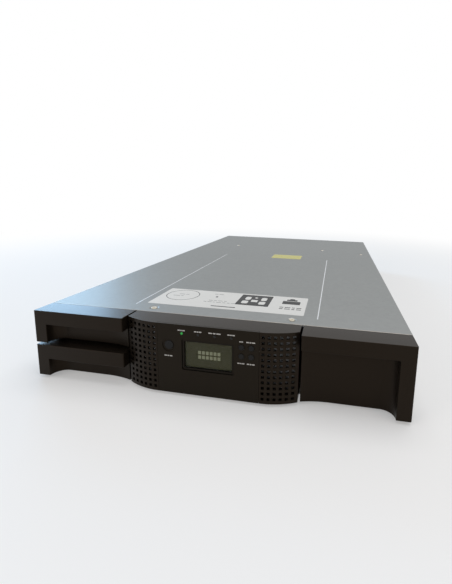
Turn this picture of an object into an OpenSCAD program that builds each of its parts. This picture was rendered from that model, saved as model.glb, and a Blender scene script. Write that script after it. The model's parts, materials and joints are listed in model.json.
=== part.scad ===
// Data tape library: a 2U rack-mount autoloader with two pull-out magazines, a mail slot,
// a cartridge robot in the aisle between them, and a tape drive, power supply and controller behind.

/* [Overall] */
// Width over the front bezel and the case
library_w = 447; // [440:0.5:460]
// Height from the floor sheet to the top of the cover
library_h = 87; // [87:0.5:92]
// Depth of the sheet-metal case behind the bezel
case_d = 740; // [736:1:800]

/* [Sheet metal] */
// Thickness of the case sheets
sheet_t = 1.2; // [0.8:0.1:1.5]
// Width of the folded flanges of the side panels and the cover
flange_w = 12; // [8:0.5:16]
// Width of the hem folded under the cover's front edge
hem_w = 6; // [4:0.5:10]
// Gap between the bezel and the cover's front edge
seam_gap = 0.5; // [0.3:0.1:1]
// Radius of a cover screw's conical dimple at the surface
dimple_r = 6.5; // [5.5:0.1:8]
// Depth of the conical dimple
dimple_h = 1.4; // [1.2:0.1:1.6]
// Distance of the front cover screws from the middle
front_screw_x = 89; // [80:0.5:95]
// Distance of the front cover screws behind the bezel
front_screw_y = 15; // [12:0.5:20]
// Distance of the pressed bead lines from the middle
bead_x = 119; // [115:0.5:130]
// Width of a bead line
bead_w = 2.5; // [1.5:0.1:4]
// Depth of a bead line
bead_h = 0.4; // [0.2:0.05:0.6]
// Length of a bead line
bead_l = 390; // [300:5:450]
// Distance of the small front notches from the middle
notch_x = 44; // [30:1:80]

/* [Bezel] */
// Depth of the bezel parts in front of the case
bezel_d = 30; // [26:0.5:36]
// Height of the bezel parts
bezel_h = 84; // [84:0.5:86]
// Wall of the moulded bezel parts
bezel_wall = 2.5; // [2:0.1:3]
// Width of the centre bezel
module_w = 205; // [200:1:209]
// Gap between the centre bezel and the handles
module_gap = 2.5; // [1.5:0.1:4]
// Bulge of the flat middle in front of the handles
bulge = 1.5; // [0.5:0.1:3]
// Radius of the curved cheeks of the centre bezel
cheek_r = 86; // [80:1:120]
// Width of the smooth control fascia
fascia_w = 120; // [118:0.5:122]

/* [Grilles] */
// Distance between vent holes
vent_pitch = 6.6; // [6.2:0.05:6.8]
// Side of a square vent hole
vent_hole = 3.5; // [3:0.1:4.4]
// Columns of vent holes in each grille
vent_cols = 6; // [3:1:6]
// Rows of vent holes
vent_rows = 12; // [6:1:12]

/* [Handles] */
// Height of the upper grip bar
grip_h = 17.1; // [14:0.1:22]
// Height of the lower left grip bar
low_grip_h = 17.9; // [14:0.1:20]
// Height of the lower left handle
low_handle_h = 40.1; // [38:0.1:41]
// Gap between the two left handles
handle_split = 3.3; // [2:0.1:5]
// Depth of the finger pockets
pocket_d = 16.5; // [12:0.5:20]
// Width of the outer handle post
post_w = 16; // [12:0.5:24]
// Radius in the pocket's outer corner
pocket_corner_r = 15; // [10:0.5:16]
// Radius of the pocket's sweep towards the centre
pocket_sweep_r = 108; // [90:1:140]
// Distance from the middle where that sweep begins
pocket_sweep_x = 138; // [130:1:150]
// Radius of the upright front edges
handle_edge_r = 1.5; // [0.8:0.1:2]

/* [Controls] */
// Centre of the display from the middle
display_x = 0.5; // [-4:0.1:4]
// Height of the display centre
display_z = 51.4; // [50:0.1:52]
// Width of the visible display
display_w = 56.4; // [50:0.1:58]
// Height of the visible display
display_h = 31.7; // [28:0.1:33]
// Depth of the display window behind the fascia's face
display_recess = 3; // [2.6:0.1:4]
// Width of the dark edge between the fascia and the display
display_rim = 2.6; // [2:0.1:3]
// Power button centre from the middle
power_x = 45.8; // [44:0.1:47]
// Height of the power button centre
power_z = 61.5; // [58:0.1:66]
// Radius of the ring around the power button
power_ring_r = 8; // [7:0.1:9]
// Radius of the power button
power_r = 5.25; // [4:0.05:6]
// Radius of a key
key_r = 3.15; // [2.5:0.05:3.6]
// Centre of the first key column from the middle
key_x = 39.8; // [38.5:0.1:41]
// Distance between key columns
key_dx = 11.3; // [9:0.1:12.5]
// Height of the upper key row
key_z = 67.5; // [65:0.1:69]
// Distance between key rows
key_dz = 10.5; // [9:0.1:12]
// Height of the keys in front of the fascia
key_proud = 0.7; // [0.4:0.1:1]
// Travel of the button and the keys
key_travel = 0.8; // [0.5:0.1:1]
// Radius of a status light
light_r = 1.4; // [1:0.1:2]
// Height of the status lights
light_z = 76.8; // [76:0.1:78]
// Centre of the first status light from the middle
light_x = -30; // [-34:0.1:-28]
// Distance between status lights
light_dx = 19.4; // [18:0.1:21]

/* [Cartridges] */
// Width of a tape cartridge
cart_w = 105.4; // [104:0.1:106]
// Length of a tape cartridge
cart_l = 102; // [100:0.1:103]
// Height of a tape cartridge
cart_h = 21.5; // [20:0.1:22]

/* [Magazines] */
// Columns of slots along a magazine
mag_cols = 4; // [3:1:4]
// Side clearance of a cartridge in its slot
slot_clear = 0.8; // [0.5:0.05:1]
// Thickness of a divider wall
divider_t = 2; // [1.5:0.1:2.5]
// Distance between slot rows
row_pitch = 24.5; // [24.3:0.05:24.6]
// Height of the lowest row's floor
row_z = 12; // [11.8:0.05:12.1]
// Thickness of the magazine's floor
mag_floor = 2; // [1.5:0.1:2.2]
// Thickness of the magazine's outer wall and front plate
mag_wall = 1.8; // [1.2:0.1:2]
// Width of the ledges under a cartridge
ledge_w = 4; // [3:0.1:5]
// Thickness of a ledge
ledge_t = 1.6; // [1.2:0.1:1.8]
// Distance of the cartridges behind the magazine's aisle edge
cart_setback = 9.5; // [7.5:0.1:11]
// Distance from the bezel to the first slot
mag_lead = 10; // [8:0.5:12]

/* [Robot] */
// Radius of the guide shaft
shaft_r = 2.5; // [2:0.1:2.8]
// Distance of the guide shaft from the middle
shaft_x = 95; // [93:0.5:97]
// Length of the robot's base towards the front
base_front = 57; // [55:0.5:58]
// Length of the robot's base towards the rear
base_rear = 90; // [88:0.5:95]
// Thickness of the base plate
base_t = 3; // [2:0.1:3]
// Height of the base plate's underside
base_z = 4; // [3.6:0.1:4]
// Teeth of the travel pinion
pinion_teeth = 20; // [18:1:21]
// Module of the rack and its pinion
rack_module = 1; // [0.9:0.05:1]
// Teeth of the full turntable ring
ring_teeth = 104; // [100:1:105]
// Teeth of the turn pinion
turn_teeth = 22; // [20:1:23]
// Module of the turntable gears
turn_module = 1.5; // [1.4:0.05:1.5]
// Thickness of the turntable
turntable_t = 2; // [1.5:0.1:2]
// Radius of the turntable's centre bearing
hub_r = 9; // [7:0.5:12]
// Radius of the two gear motors
motor_r = 10; // [8:0.5:10]
// Radius of the lift screw
screw_r = 1.75; // [1.5:0.05:2]

/* [Tape drive] */
// Width of the tape drive
drive_w = 146; // [140:0.5:147]
// Height of the tape drive
drive_h = 41.3; // [40:0.1:42]
// Depth of the tape drive
drive_d = 205; // [190:1:210]
// Room behind the tape drive for its fan and plugs
drive_back = 37.5; // [30:0.5:42]
// Height of the cartridge slot in the drive
mouth_h = 24; // [23.5:0.1:26]
// Thickness of the rear module panels
panel_t = 1.5; // [1:0.1:2]
// Reach of the rear grips behind the panels
rear_grip = 16; // [14:0.5:24]

/* [Power supply] */
// Width of the power supply
psu_w = 116; // [110:0.5:118]
// Height of the power supply
psu_h = 40; // [38:0.5:41]
// Depth of the power supply
psu_d = 190; // [160:1:200]
// Gap at each side of the rear panels beside the drive
bay_gap = 6; // [5:0.1:8]
// Side of the small cooling fans
fan_size = 38; // [34:0.5:38]

/* [Controller] */
// Height of the controller panel
card_h = 37; // [34:0.5:40]
// Depth of the controller board
card_d = 130; // [100:1:160]

/* [Clearances] */
// Gap between parts that slide past each other
slide_gap = 0.3; // [0.3:0.05:0.5]
// Radial clearance of a shaft in its bore
run_gap = 0.05; // [0.03:0.01:0.1]
// Gap around keys, lights and inserts
fit_gap = 0.3; // [0.25:0.05:0.4]

/* [Hidden] */
$fn = 64;

eps = 0.01;
half_w = library_w / 2;
roof_z = library_h - sheet_t;
hem_z = roof_z - sheet_t;
bezel_z = library_h - bezel_h;
side_out = half_w - sheet_t;
side_in = side_out - sheet_t;
case_y = bezel_d + seam_gap;
rear_y = case_y + case_d;
mid_y = (rear_y + panel_t + rear_grip - bulge - key_proud) / 2;

// Front bezel
handle_x = module_w / 2 + module_gap;
flat_half = fascia_w / 2;
cheek_y = cheek_r - bulge;
fascia_back = bezel_wall - bulge;
mid_z = bezel_z + bezel_h / 2;
low_handle_top = bezel_z + low_handle_h;
mail_z = low_handle_top + handle_split;
board_y = 10;
board_t = 1.6;
flange_t = 1;

// Magazines
slot_w = cart_w + 2 * slot_clear;
col_pitch = slot_w + divider_t;
mag_y = bezel_d + mag_lead;
mag_end = mag_y + mag_cols * col_pitch + divider_t;
mag_out = side_in - slide_gap;
wall_x = mag_out - mag_wall;
cart_rest = 0.2;
mag_in = wall_x - cart_rest - cart_l - cart_setback;
aisle_half = mag_in - fit_gap;
mag_floor_z = row_z - mag_floor;
plate_drop = 6;
mag_top = row_z + 3 * row_pitch - slide_gap - 2;
rail_top = mag_floor_z - slide_gap;
rail_x = aisle_half + 0.8;
first_col = mag_y + divider_t + slot_w / 2;
last_col = first_col + (mag_cols - 1) * col_pitch;
mail_floor_z = row_z + 2 * row_pitch;
mail_floor_t = 1.6;
mail_rail_z = mail_floor_z - mail_floor_t - slide_gap;
mail_rail_t = 0.9;
mail_out = wall_x - slide_gap;
mail_wall = 1.2;

// Locks
pawl_y = 65;
pawl_x = wall_x - 59;
pawl_z = 3.8;
catch_z = 6;
pawl_l = 30;
pawl_tip_y = pawl_y + pawl_l;
pawl_w = 7;
pawl_pin_r = 1;

// Robot
robot_y = (first_col + last_col) / 2;
base_top = base_z + base_t;
rack_root_x = aisle_half - 7;
base_right = rack_root_x - 16;
rack_z = 2.2;
rack_h = 4.5;
rack_pitch_x = rack_root_x - 1.25 * rack_module;
pinion_r = pinion_teeth * rack_module / 2;
pinion_x = rack_pitch_x - pinion_r;
pinion_y = 68;
turntable_z = base_top + slide_gap;
turntable_top = turntable_z + turntable_t;
ring_r = ring_teeth * turn_module / 2;
turn_r = turn_teeth * turn_module / 2;
turn_xy = (ring_r + turn_r) / sqrt(2);
motor_plate_t = 1.5;
motor_z = turntable_top + slide_gap + motor_plate_t;
motor_h = 26;
tray_t = 1.6;
tray_z = row_z - tray_t;
arm_t = 1.5;
arm_v = cart_w / 2 + 0.5;
tray_wall_v = arm_v + arm_t + slide_gap;
tray_half_v = tray_wall_v + mail_wall;
glide_v = tray_half_v + 1;
post_v = glide_v + slide_gap;
post_t = 4;
post_half_u = 14;
post_top = 82;
tray_u0 = -52;
tray_u1 = 53;
screw_u = 20;
screw_v = post_v + 2;

// Rear
drive_y = rear_y - drive_back - drive_d;
shaft_end = drive_y - 8;
shaft_z = 6;
shaft_bracket_t = 3;
shaft_start = case_y + 1 + shaft_bracket_t;
runner_h = 1.8;
strip_seam = 0.1;
sled_z = sheet_t + runner_h + slide_gap;
sled_half = drive_w / 2 + 0.2 + sheet_t;
drive_z = sled_z + sheet_t;
mouth_z = drive_z + 8;
mouth_w = 107;
mouth_d = 104;
sled_y = drive_y + 32;
sled_panel_half = sled_half + 7;
panel_z = sled_z - 1.3;
bay_top = drive_z + drive_h + 0.6;
panel_top = bay_top + 0.6;
fan_t = 15;
fan_bore = fan_size / 2 - 0.9;
rotor_r = fan_bore - 0.8;
drive_fan_x = 45;
fan_z = 25;
psu_z = sled_z;
psu_fan_z = psu_z + psu_h / 2;
psu_x = (sled_panel_half + side_in) / 2;
bay_panel_half = (side_in - sled_panel_half) / 2 - bay_gap;
psu_fan_x = psu_x - 27;
inlet_x = psu_x + 27;
card_x = -psu_x;
card_board_z = 8;

module place() {
    translate([0, -mid_y, 0]) children();
}

// A box given by its lowest and highest corner
module box(a, b) {
    translate(a) cube(b - a);
}

module flip_x() {
    mirror([1, 0, 0]) children();
}

// A cylinder along +Y from y0 to y1
module rod_y(x, z, r, y0, y1) {
    translate([x, y0, z]) rotate([-90, 0, 0]) cylinder(r = r, h = y1 - y0);
}

module rod_x(y, z, r, x0, x1) {
    translate([x0, y, z]) rotate([0, 90, 0]) cylinder(r = r, h = x1 - x0);
}

module rod_z(x, y, r, z0, z1) {
    translate([x, y, z0]) cylinder(r = r, h = z1 - z0);
}

// ---------- Case ----------

cover_screw_spots = [
    [-front_screw_x, bezel_d + front_screw_y], [front_screw_x, bezel_d + front_screw_y],
    [-132, rear_y - 192], [103, rear_y - 204], [half_w - 22.5, rear_y - 238]
];
screw_shank_r = 1.5;
screw_head_r = 3.5;
screw_hole_r = screw_shank_r + 0.1;

module base_tray() {
    color("silver") place() difference() {
        box([-side_out, case_y, 0], [side_out, rear_y, sheet_t]);
        for (x = [-54:12:54], y = [sled_y + 30:40:rear_y - 50])
            box([x - 1.5, y, -1], [x + 1.5, y + 28, sheet_t + 1]);
    }
}

rail_hole_r = 1.65;
rail_hole_dy = 500;
rail_hole_dz = 40;

module side_panel() {
    place() difference() {
        union() {
            box([side_in, case_y, sheet_t], [side_out, rear_y, roof_z]);
            box([side_out - flange_w, case_y, sheet_t], [side_out, rear_y, 2 * sheet_t]);
        }
        for (s = [-1, 1], t = [-1, 1])
            rod_x(case_y + case_d / 2 + s * rail_hole_dy / 2, mid_z + t * rail_hole_dz / 2,
                  rail_hole_r, side_in - 1, side_out + 1);
    }
}

module right_side_panel() {
    color("silver") side_panel();
}

module left_side_panel() {
    color("silver") flip_x() side_panel();
}

module bead_line(x) {
    translate([x, case_y + 22, library_h]) rotate([-90, 0, 0]) linear_extrude(bead_l)
        polygon([[-bead_w / 2, -eps], [bead_w / 2, -eps], [0, bead_h]]);
}

module top_cover() {
    color("lightsteelblue") place() difference() {
        union() {
            box([-half_w, case_y, roof_z], [half_w, rear_y, library_h]);
            box([-side_out + flange_w, case_y, hem_z], [side_out - flange_w, case_y + hem_w, roof_z]);
            for (s = [0, 1]) mirror([s, 0, 0])
                box([side_out, case_y, roof_z - flange_w], [half_w, rear_y, roof_z]);
            for (p = cover_screw_spots) rod_z(p[0], p[1], dimple_r, hem_z - 0.2, roof_z);
        }
        for (p = cover_screw_spots) {
            translate([p[0], p[1], library_h - dimple_h])
                cylinder(r1 = dimple_r - 2, r2 = dimple_r + eps, h = dimple_h + eps);
            rod_z(p[0], p[1], screw_hole_r, 0, library_h);
        }
        for (x = [-bead_x, bead_x]) bead_line(x);
        for (x = [-notch_x, notch_x]) rod_z(x, case_y, 1.5, roof_z - 5, library_h + 1);
    }
}

module pan_screw(x, y, z, len) {
    rod_z(x, y, screw_head_r, z, z + 1.1);
    rod_z(x, y, screw_shank_r, z - len, z + eps);
}

module case_screws() {
    color("gainsboro") place() {
        for (p = cover_screw_spots) pan_screw(p[0], p[1], library_h - dimple_h, 4);
        for (x = [card_x - bay_panel_half + 5, card_x + bay_panel_half - 5])
            rod_y(x, panel_z + card_h - 6, 3, rear_y + panel_t, rear_y + panel_t + 5);
        // standoffs between the crossmember and the control board
        for (x = [-50, 50], z = [34, 79]) rod_y(x, z, 3, board_y + board_t, bezel_d);
    }
}

// Two runners under a rear module from x0 to x1
module runners(x0, x1, y0) {
    for (x = [x0 + 2, x1 - 10]) box([x, y0, sheet_t], [x + 8, rear_y - 4, sheet_t + runner_h]);
}

// Upright post of the rear wall between two bays
module rear_post(x1, x2) {
    box([x1, rear_y - sheet_t, 2 * sheet_t], [x2, rear_y, bay_top - strip_seam]);
}

module rear_frame() {
    psu_half = psu_w / 2 + 1;
    card_half = bay_panel_half - 8;
    color("silver") place() {
        // vented strip above the bays
        difference() {
            box([-side_in, rear_y - sheet_t, bay_top], [side_in, rear_y, hem_z - 0.2]);
            for (x = [16 - side_in:8:side_in - 16])
                box([x - 2, rear_y - 5, panel_top + 8], [x + 2, rear_y + 1, hem_z - 8]);
        }
        // filler above the controller card
        box([card_x - card_half + strip_seam, rear_y - sheet_t, panel_z + card_h - 12],
            [card_x + card_half - strip_seam, rear_y, bay_top - strip_seam]);
        rear_post(-side_in, card_x - card_half);
        rear_post(card_x + card_half, -sled_half - 2);
        rear_post(sled_half + 2, psu_x - psu_half);
        rear_post(psu_x + psu_half, side_in);
        runners(-sled_half, sled_half, sled_y);
        runners(psu_x - psu_w / 2, psu_x + psu_w / 2, rear_y - psu_d);
        shaft_bracket(shaft_end);
    }
}

// Two lower rails and the upper ledge under the cover's edge
module magazine_rails() {
    place() {
        box([rail_x, case_y + 2, sheet_t], [rail_x + 4.5, mag_end, rail_top]);
        box([side_in - 12, case_y + 2, 2 * sheet_t], [side_in, mag_end, rail_top]);
        box([side_out - flange_w, case_y + 2, hem_z], [side_in, rear_y - 2, roof_z]);
    }
}

module right_magazine_rails() {
    color("dimgray") magazine_rails();
}

module left_magazine_rails() {
    color("dimgray") flip_x() magazine_rails();
}

cross_half = module_w / 2;
rim_gap_half = 0.7 * ring_r;

// Bracket that carries one end of the guide shaft
module shaft_bracket(y) {
    box([-shaft_x - 6, y, sheet_t], [-shaft_x + 6, y + shaft_bracket_t, rail_top]);
}

module front_crossmember() {
    color("silver") place() difference() {
        union() {
            box([-cross_half, bezel_d, turntable_top + 2], [cross_half, bezel_d + sheet_t, hem_z - 0.2]);
            box([-cross_half, bezel_d, hem_z - 0.2 - sheet_t], [cross_half, case_y + 30, hem_z - 0.2]);
        }
        for (s = [-1, 1])
            rod_z(s * front_screw_x, bezel_d + front_screw_y, screw_hole_r, hem_z - 5, library_h);
    }
    // feet on both sides of the turntable's rim
    color("silver") place() for (s = [0, 1]) mirror([s, 0])
        box([rim_gap_half, bezel_d, sheet_t], [cross_half, bezel_d + sheet_t, turntable_top + 2]);
    color("silver") place() shaft_bracket(shaft_start - shaft_bracket_t);
}

// ---------- Front bezel ----------

// Plan outline of the centre bezel, drawn in by g all round
module module_plan(g) {
    translate([-flat_half, g - bulge]) square([2 * flat_half, bezel_d + bulge - g]);
    for (s = [0, 1]) mirror([s, 0]) intersection() {
        translate([flat_half, cheek_y]) circle(r = cheek_r - g, $fn = 256);
        translate([flat_half - eps, -bulge]) square([module_w / 2 - g - flat_half + eps, bezel_d + bulge]);
    }
}

module vent_holes() {
    for (s = [-1, 1], i = [0:vent_cols - 1], j = [0:vent_rows - 1])
        translate([s * (flat_half + 4 + vent_pitch * i), 0, mid_z + vent_pitch * (j - (vent_rows - 1) / 2)])
            cube([vent_hole, 22, vent_hole], center = true);
}

module center_bezel() {
    color("#26282b") place() difference() {
        translate([0, 0, bezel_z]) linear_extrude(bezel_h) module_plan(0);
        translate([0, 0, bezel_z + bezel_wall]) linear_extrude(bezel_h - 2 * bezel_wall) {
            module_plan(bezel_wall);
            translate([-module_w / 2 + bezel_wall, bezel_d - 5]) square([module_w - 2 * bezel_wall, 6]);
        }
        vent_holes();
        box([-flat_half, -bulge - 1, bezel_z - 1], [flat_half, fascia_back + fit_gap, library_h + 1]);
    }
}

module window_plan(w, h, r) {
    square([w - 2 * r, h], center = true);
    square([w, h - 2 * r], center = true);
    for (x = [-1, 1], y = [-1, 1]) translate([x * (w / 2 - r), y * (h / 2 - r)]) circle(r = r);
}

// A block with rounded corners across X and Z, from y0 to y1
module window_block(w, h, r, y0, y1) {
    translate([display_x, y1, display_z]) rotate([90, 0, 0]) linear_extrude(y1 - y0) window_plan(w, h, r);
}

key_spots = [
    [key_x, key_z], [key_x, key_z - key_dz], [key_x + key_dx, key_z], [key_x + key_dx, key_z - key_dz]
];
light_spots = [for (i = [0:3]) light_x + i * light_dx];
button_gap = 0.35;

module control_fascia() {
    color("#1d1f22") place() difference() {
        box([-flat_half + fit_gap, -bulge, bezel_z], [flat_half - fit_gap, fascia_back, library_h]);
        window_block(display_w + 2 * display_rim, display_h + 2 * display_rim, 2, -5, 5);
        rod_y(-power_x, power_z, power_ring_r, -5, -bulge + 0.8);
        rod_y(-power_x, power_z, power_r + button_gap, -5, 5);
        for (p = key_spots) rod_y(p[0], p[1], key_r + button_gap, -5, 5);
        for (x = light_spots) rod_y(x, light_z, light_r + fit_gap, -5, 5);
    }
}

module display_frame() {
    color("#111315") place() difference() {
        union() {
            window_block(display_w + 2 * display_rim + 3, display_h + 2 * display_rim + 2, 1, fascia_back, board_y);
            window_block(display_w + 2 * display_rim - 2 * fit_gap, display_h + 2 * display_rim - 2 * fit_gap,
                         1.6, -bulge + 1.2, fascia_back + eps);
        }
        window_block(display_w, display_h, 0.8, -5, board_y + 1);
    }
}

window_y = display_recess - bulge;

module display_window() {
    color("#5a6040") place()
        window_block(display_w - 2 * slide_gap, display_h - 2 * slide_gap, 0.6, window_y, window_y + 1);
}

module display_panel() {
    color("olivedrab") place()
        window_block(display_w - 2 * slide_gap, display_h - 2 * slide_gap, 0.6, window_y + 1, board_y);
}

switch_y = board_y - 2;
stem_gap = 0.3;

module control_board() {
    color("darkgreen") place() {
        box([-flat_half + 3, board_y, 30], [flat_half - 3, board_y + board_t, 83]);
        for (p = concat(key_spots, [[-power_x, power_z]]))
            box([p[0] - 2.5, switch_y, p[1] - 2.5], [p[0] + 2.5, board_y, p[1] + 2.5]);
    }
}

module light_pipe(x) {
    rod_y(x, light_z, light_r, -bulge - 0.3, board_y);
}

module ready_light() {
    color("lime") place() light_pipe(light_spots[0]);
}

module status_lights() {
    color("dimgray") place() for (i = [1:3]) light_pipe(light_spots[i]);
}

// A cap in its hole, a collar behind the fascia and a stem down to its switch
module button(x, z, r, proud) {
    place() {
        rod_y(x, z, r, -bulge - proud, fascia_back + fit_gap + flange_t);
        rod_y(x, z, r + 1, fascia_back + fit_gap, fascia_back + fit_gap + flange_t);
        rod_y(x, z, 1.8, fascia_back + fit_gap, switch_y - stem_gap - key_travel);
    }
}

module power_button() {
    color("#2c2e31") button(-power_x, power_z, power_r, -0.2);
}

module up_key() {
    color("#35383b") button(key_spots[0][0], key_spots[0][1], key_r, key_proud);
}

module down_key() {
    color("#35383b") button(key_spots[1][0], key_spots[1][1], key_r, key_proud);
}

module cancel_key() {
    color("#35383b") button(key_spots[2][0], key_spots[2][1], key_r, key_proud);
}

module select_key() {
    color("#35383b") button(key_spots[3][0], key_spots[3][1], key_r, key_proud);
}

// Plan outline of a right-hand handle
module handle_plan(g) {
    r = handle_edge_r;
    translate([handle_x + g, r + g]) square([half_w - handle_x - 2 * g, bezel_d - r - g]);
    translate([handle_x + g + r, g]) square([half_w - handle_x - 2 * g - 2 * r, r + eps]);
    for (x = [handle_x + g + r, half_w - g - r]) translate([x, g + r]) circle(r = r);
}

// Plan outline of the finger pocket of a right-hand handle, grown by g
module pocket_plan(g) {
    corner_x = half_w - post_w - pocket_corner_r;
    corner_y = pocket_d - pocket_corner_r;
    translate([corner_x, corner_y]) circle(r = pocket_corner_r + g);
    translate([pocket_sweep_x, -5]) square([corner_x - pocket_sweep_x, pocket_d + g + 5]);
    translate([corner_x, -5]) square([pocket_corner_r + g, corner_y + 5]);
    intersection() {
        translate([pocket_sweep_x, pocket_d - pocket_sweep_r]) circle(r = pocket_sweep_r + g, $fn = 256);
        translate([handle_x - 5, -5]) square([pocket_sweep_x - handle_x + 5 + eps, bezel_d]);
    }
}

// A moulded handle from z0 to z1 with its finger pocket from p0 to p1, open at the back
module handle_shell(z0, z1, p0, p1) {
    bottom_open = p0 <= z0;
    difference() {
        translate([0, 0, z0]) linear_extrude(z1 - z0) handle_plan(0);
        translate([0, 0, bottom_open ? p0 - 1 : p0]) linear_extrude(p1 - p0 + (bottom_open ? 1 : 0))
            pocket_plan(0);
        translate([0, 0, z0 + bezel_wall]) linear_extrude(p1 + bezel_wall - z0 - bezel_wall) difference() {
            translate([handle_x + bezel_wall, -1])
                square([half_w - handle_x - 2 * bezel_wall, bezel_d + 2]);
            pocket_plan(bezel_wall);
            translate([handle_x, -2]) square([half_w - handle_x, bezel_wall + 2]);
        }
        translate([0, 0, p1 + bezel_wall]) linear_extrude(z1 - p1 - 2 * bezel_wall)
            translate([handle_x + bezel_wall, bezel_wall])
                square([half_w - handle_x - 2 * bezel_wall, bezel_d]);
    }
}

module right_handle() {
    color("#202225") place() handle_shell(bezel_z, library_h, bezel_z, library_h - grip_h);
}

module left_handle() {
    color("#202225") place() flip_x()
        handle_shell(bezel_z, low_handle_top, bezel_z, low_handle_top - low_grip_h);
}

module mail_slot_handle() {
    color("#202225") place() flip_x() handle_shell(mail_z, library_h, mail_z, library_h - grip_h);
}

// ---------- Magazines ----------

// Floor, outer wall and front plate of a right-hand magazine; the plate ends at plate_top
module magazine_base(plate_top) {
    place() {
        box([mag_in, bezel_d, mag_floor_z], [mag_out, mag_end, row_z]);
        box([wall_x, mag_y, mag_floor_z], [mag_out, mag_end, mag_top]);
        box([mag_in, bezel_d, mag_floor_z - plate_drop], [mag_out, bezel_d + mag_wall, plate_top]);
    }
}

module right_magazine_base() {
    color("#3a3d40") magazine_base(hem_z - 1);
}

module left_magazine_base() {
    color("#3a3d40") flip_x() magazine_base(low_handle_top - 0.5);
}

// One ledge of a divider: on its rear side for s = 1, on its front side for s = -1
module ledge(y, s, z) {
    y0 = s > 0 ? y + divider_t : y - ledge_w;
    box([mag_in, y0, z - ledge_t], [wall_x, y0 + ledge_w, z]);
}

// The divider walls of a right-hand magazine; a mail slot leaves out the first column's top row
module magazine_dividers(mail) {
    place() for (i = [0:mag_cols]) {
        y = mag_y + i * col_pitch;
        union() {
            box([mag_in, y, row_z], [wall_x, y + divider_t, mail && i == 0 ? mail_rail_z : mag_top]);
            for (row = [1, 2]) {
                no_mail = !(mail && row == 2);
                if (i < mag_cols && (no_mail || i > 0)) ledge(y, 1, row_z + row * row_pitch);
                if (i > 0 && (no_mail || i > 1)) ledge(y, -1, row_z + row * row_pitch);
            }
        }
    }
    // catch for the lock pawl, under the floor
    place() box([pawl_x - 3, pawl_tip_y + 0.5, catch_z], [pawl_x + 3, pawl_tip_y + 2.5, mag_floor_z]);
    if (mail) place() {
        for (x = [mag_in, wall_x - 3])
            box([x, mag_y + divider_t, mail_rail_z - mail_rail_t],
                [x == mag_in ? x + 7 : wall_x, mag_y + col_pitch, mail_rail_z]);
    }
}

module right_magazine_dividers() {
    color("#4a4d50") magazine_dividers(false);
}

module left_magazine_dividers() {
    color("#4a4d50") flip_x() magazine_dividers(true);
}

// A cartridge lying flat, its long side against the magazine's outer wall
module cartridge(y, z) {
    c = 2;
    x1 = wall_x - cart_rest;
    x0 = x1 - cart_l;
    difference() {
        translate([0, 0, z]) linear_extrude(cart_h) polygon([
            [x0, y - cart_w / 2 + c], [x0 + c, y - cart_w / 2], [x1 - c, y - cart_w / 2],
            [x1, y - cart_w / 2 + c], [x1, y + cart_w / 2 - c], [x1 - c, y + cart_w / 2],
            [x0 + c, y + cart_w / 2], [x0, y + cart_w / 2 - c]
        ]);
        box([x0 - 1, y - 40, z + 5], [x0 + 0.6, y + 40, z + cart_h - 5]);
    }
}

module magazine_cartridges(mail) {
    place() for (i = [0:mag_cols - 1], row = [0:2])
        if (!(mail && i == 0 && row == 2)) cartridge(first_col + i * col_pitch, row_z + row * row_pitch);
}

module right_cartridges() {
    color("darkslateblue") magazine_cartridges(false);
}

module left_cartridges() {
    color("darkslateblue") flip_x() magazine_cartridges(true);
}

module mail_slot_tray() {
    back_y = mag_y + col_pitch - slide_gap;
    z0 = mail_floor_z - mail_floor_t;
    color("#4a4d50") place() flip_x() union() {
        box([mag_in, bezel_d, z0], [mail_out, back_y, mail_floor_z]);
        box([mail_out - mail_wall, bezel_d, z0], [mail_out, back_y, mag_top]);
        box([mag_in, back_y - mail_wall, z0], [mail_out, back_y, mag_top]);
        box([mag_in, mag_y - 1, z0], [mail_out, mag_y + 0.2, mail_floor_z + 12]);
        box([mag_in, bezel_d, mail_z + 0.5], [mail_out, bezel_d + mag_wall, hem_z - 1]);
    }
}

// A pawl that rocks up in front of the catch under the magazine's floor
module lock_pawl() {
    place() difference() {
        union() {
            rod_x(pawl_y, pawl_z, 1.8, pawl_x - pawl_w / 2, pawl_x + pawl_w / 2);
            box([pawl_x - pawl_w / 2, pawl_y, pawl_z - 1], [pawl_x + pawl_w / 2, pawl_tip_y, pawl_z + 1]);
            box([pawl_x - pawl_w / 2, pawl_tip_y - 5, pawl_z - 1],
                [pawl_x + pawl_w / 2, pawl_tip_y, catch_z - slide_gap]);
        }
        rod_x(pawl_y, pawl_z, pawl_pin_r + run_gap, pawl_x - pawl_w, pawl_x + pawl_w);
    }
}

module right_lock_pawl() {
    color("silver") lock_pawl();
}

module left_lock_pawl() {
    color("silver") flip_x() lock_pawl();
}

module lock_solenoids() {
    color("slategray") place() for (s = [0, 1]) mirror([s, 0, 0]) {
        rod_x(pawl_y, pawl_z, pawl_pin_r, pawl_x - pawl_w / 2 - 2, pawl_x + pawl_w / 2 + 2);
        for (x = [pawl_x - pawl_w / 2 - 2, pawl_x + pawl_w / 2 + slide_gap])
            box([x, pawl_y - 3, sheet_t], [x + 2 - slide_gap, pawl_y + 3, pawl_z + 3]);
        box([pawl_x - 8, pawl_tip_y + 8, sheet_t], [pawl_x + 8, pawl_tip_y + 34, rail_top - 0.5]);
    }
}

// ---------- Robot ----------

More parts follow.
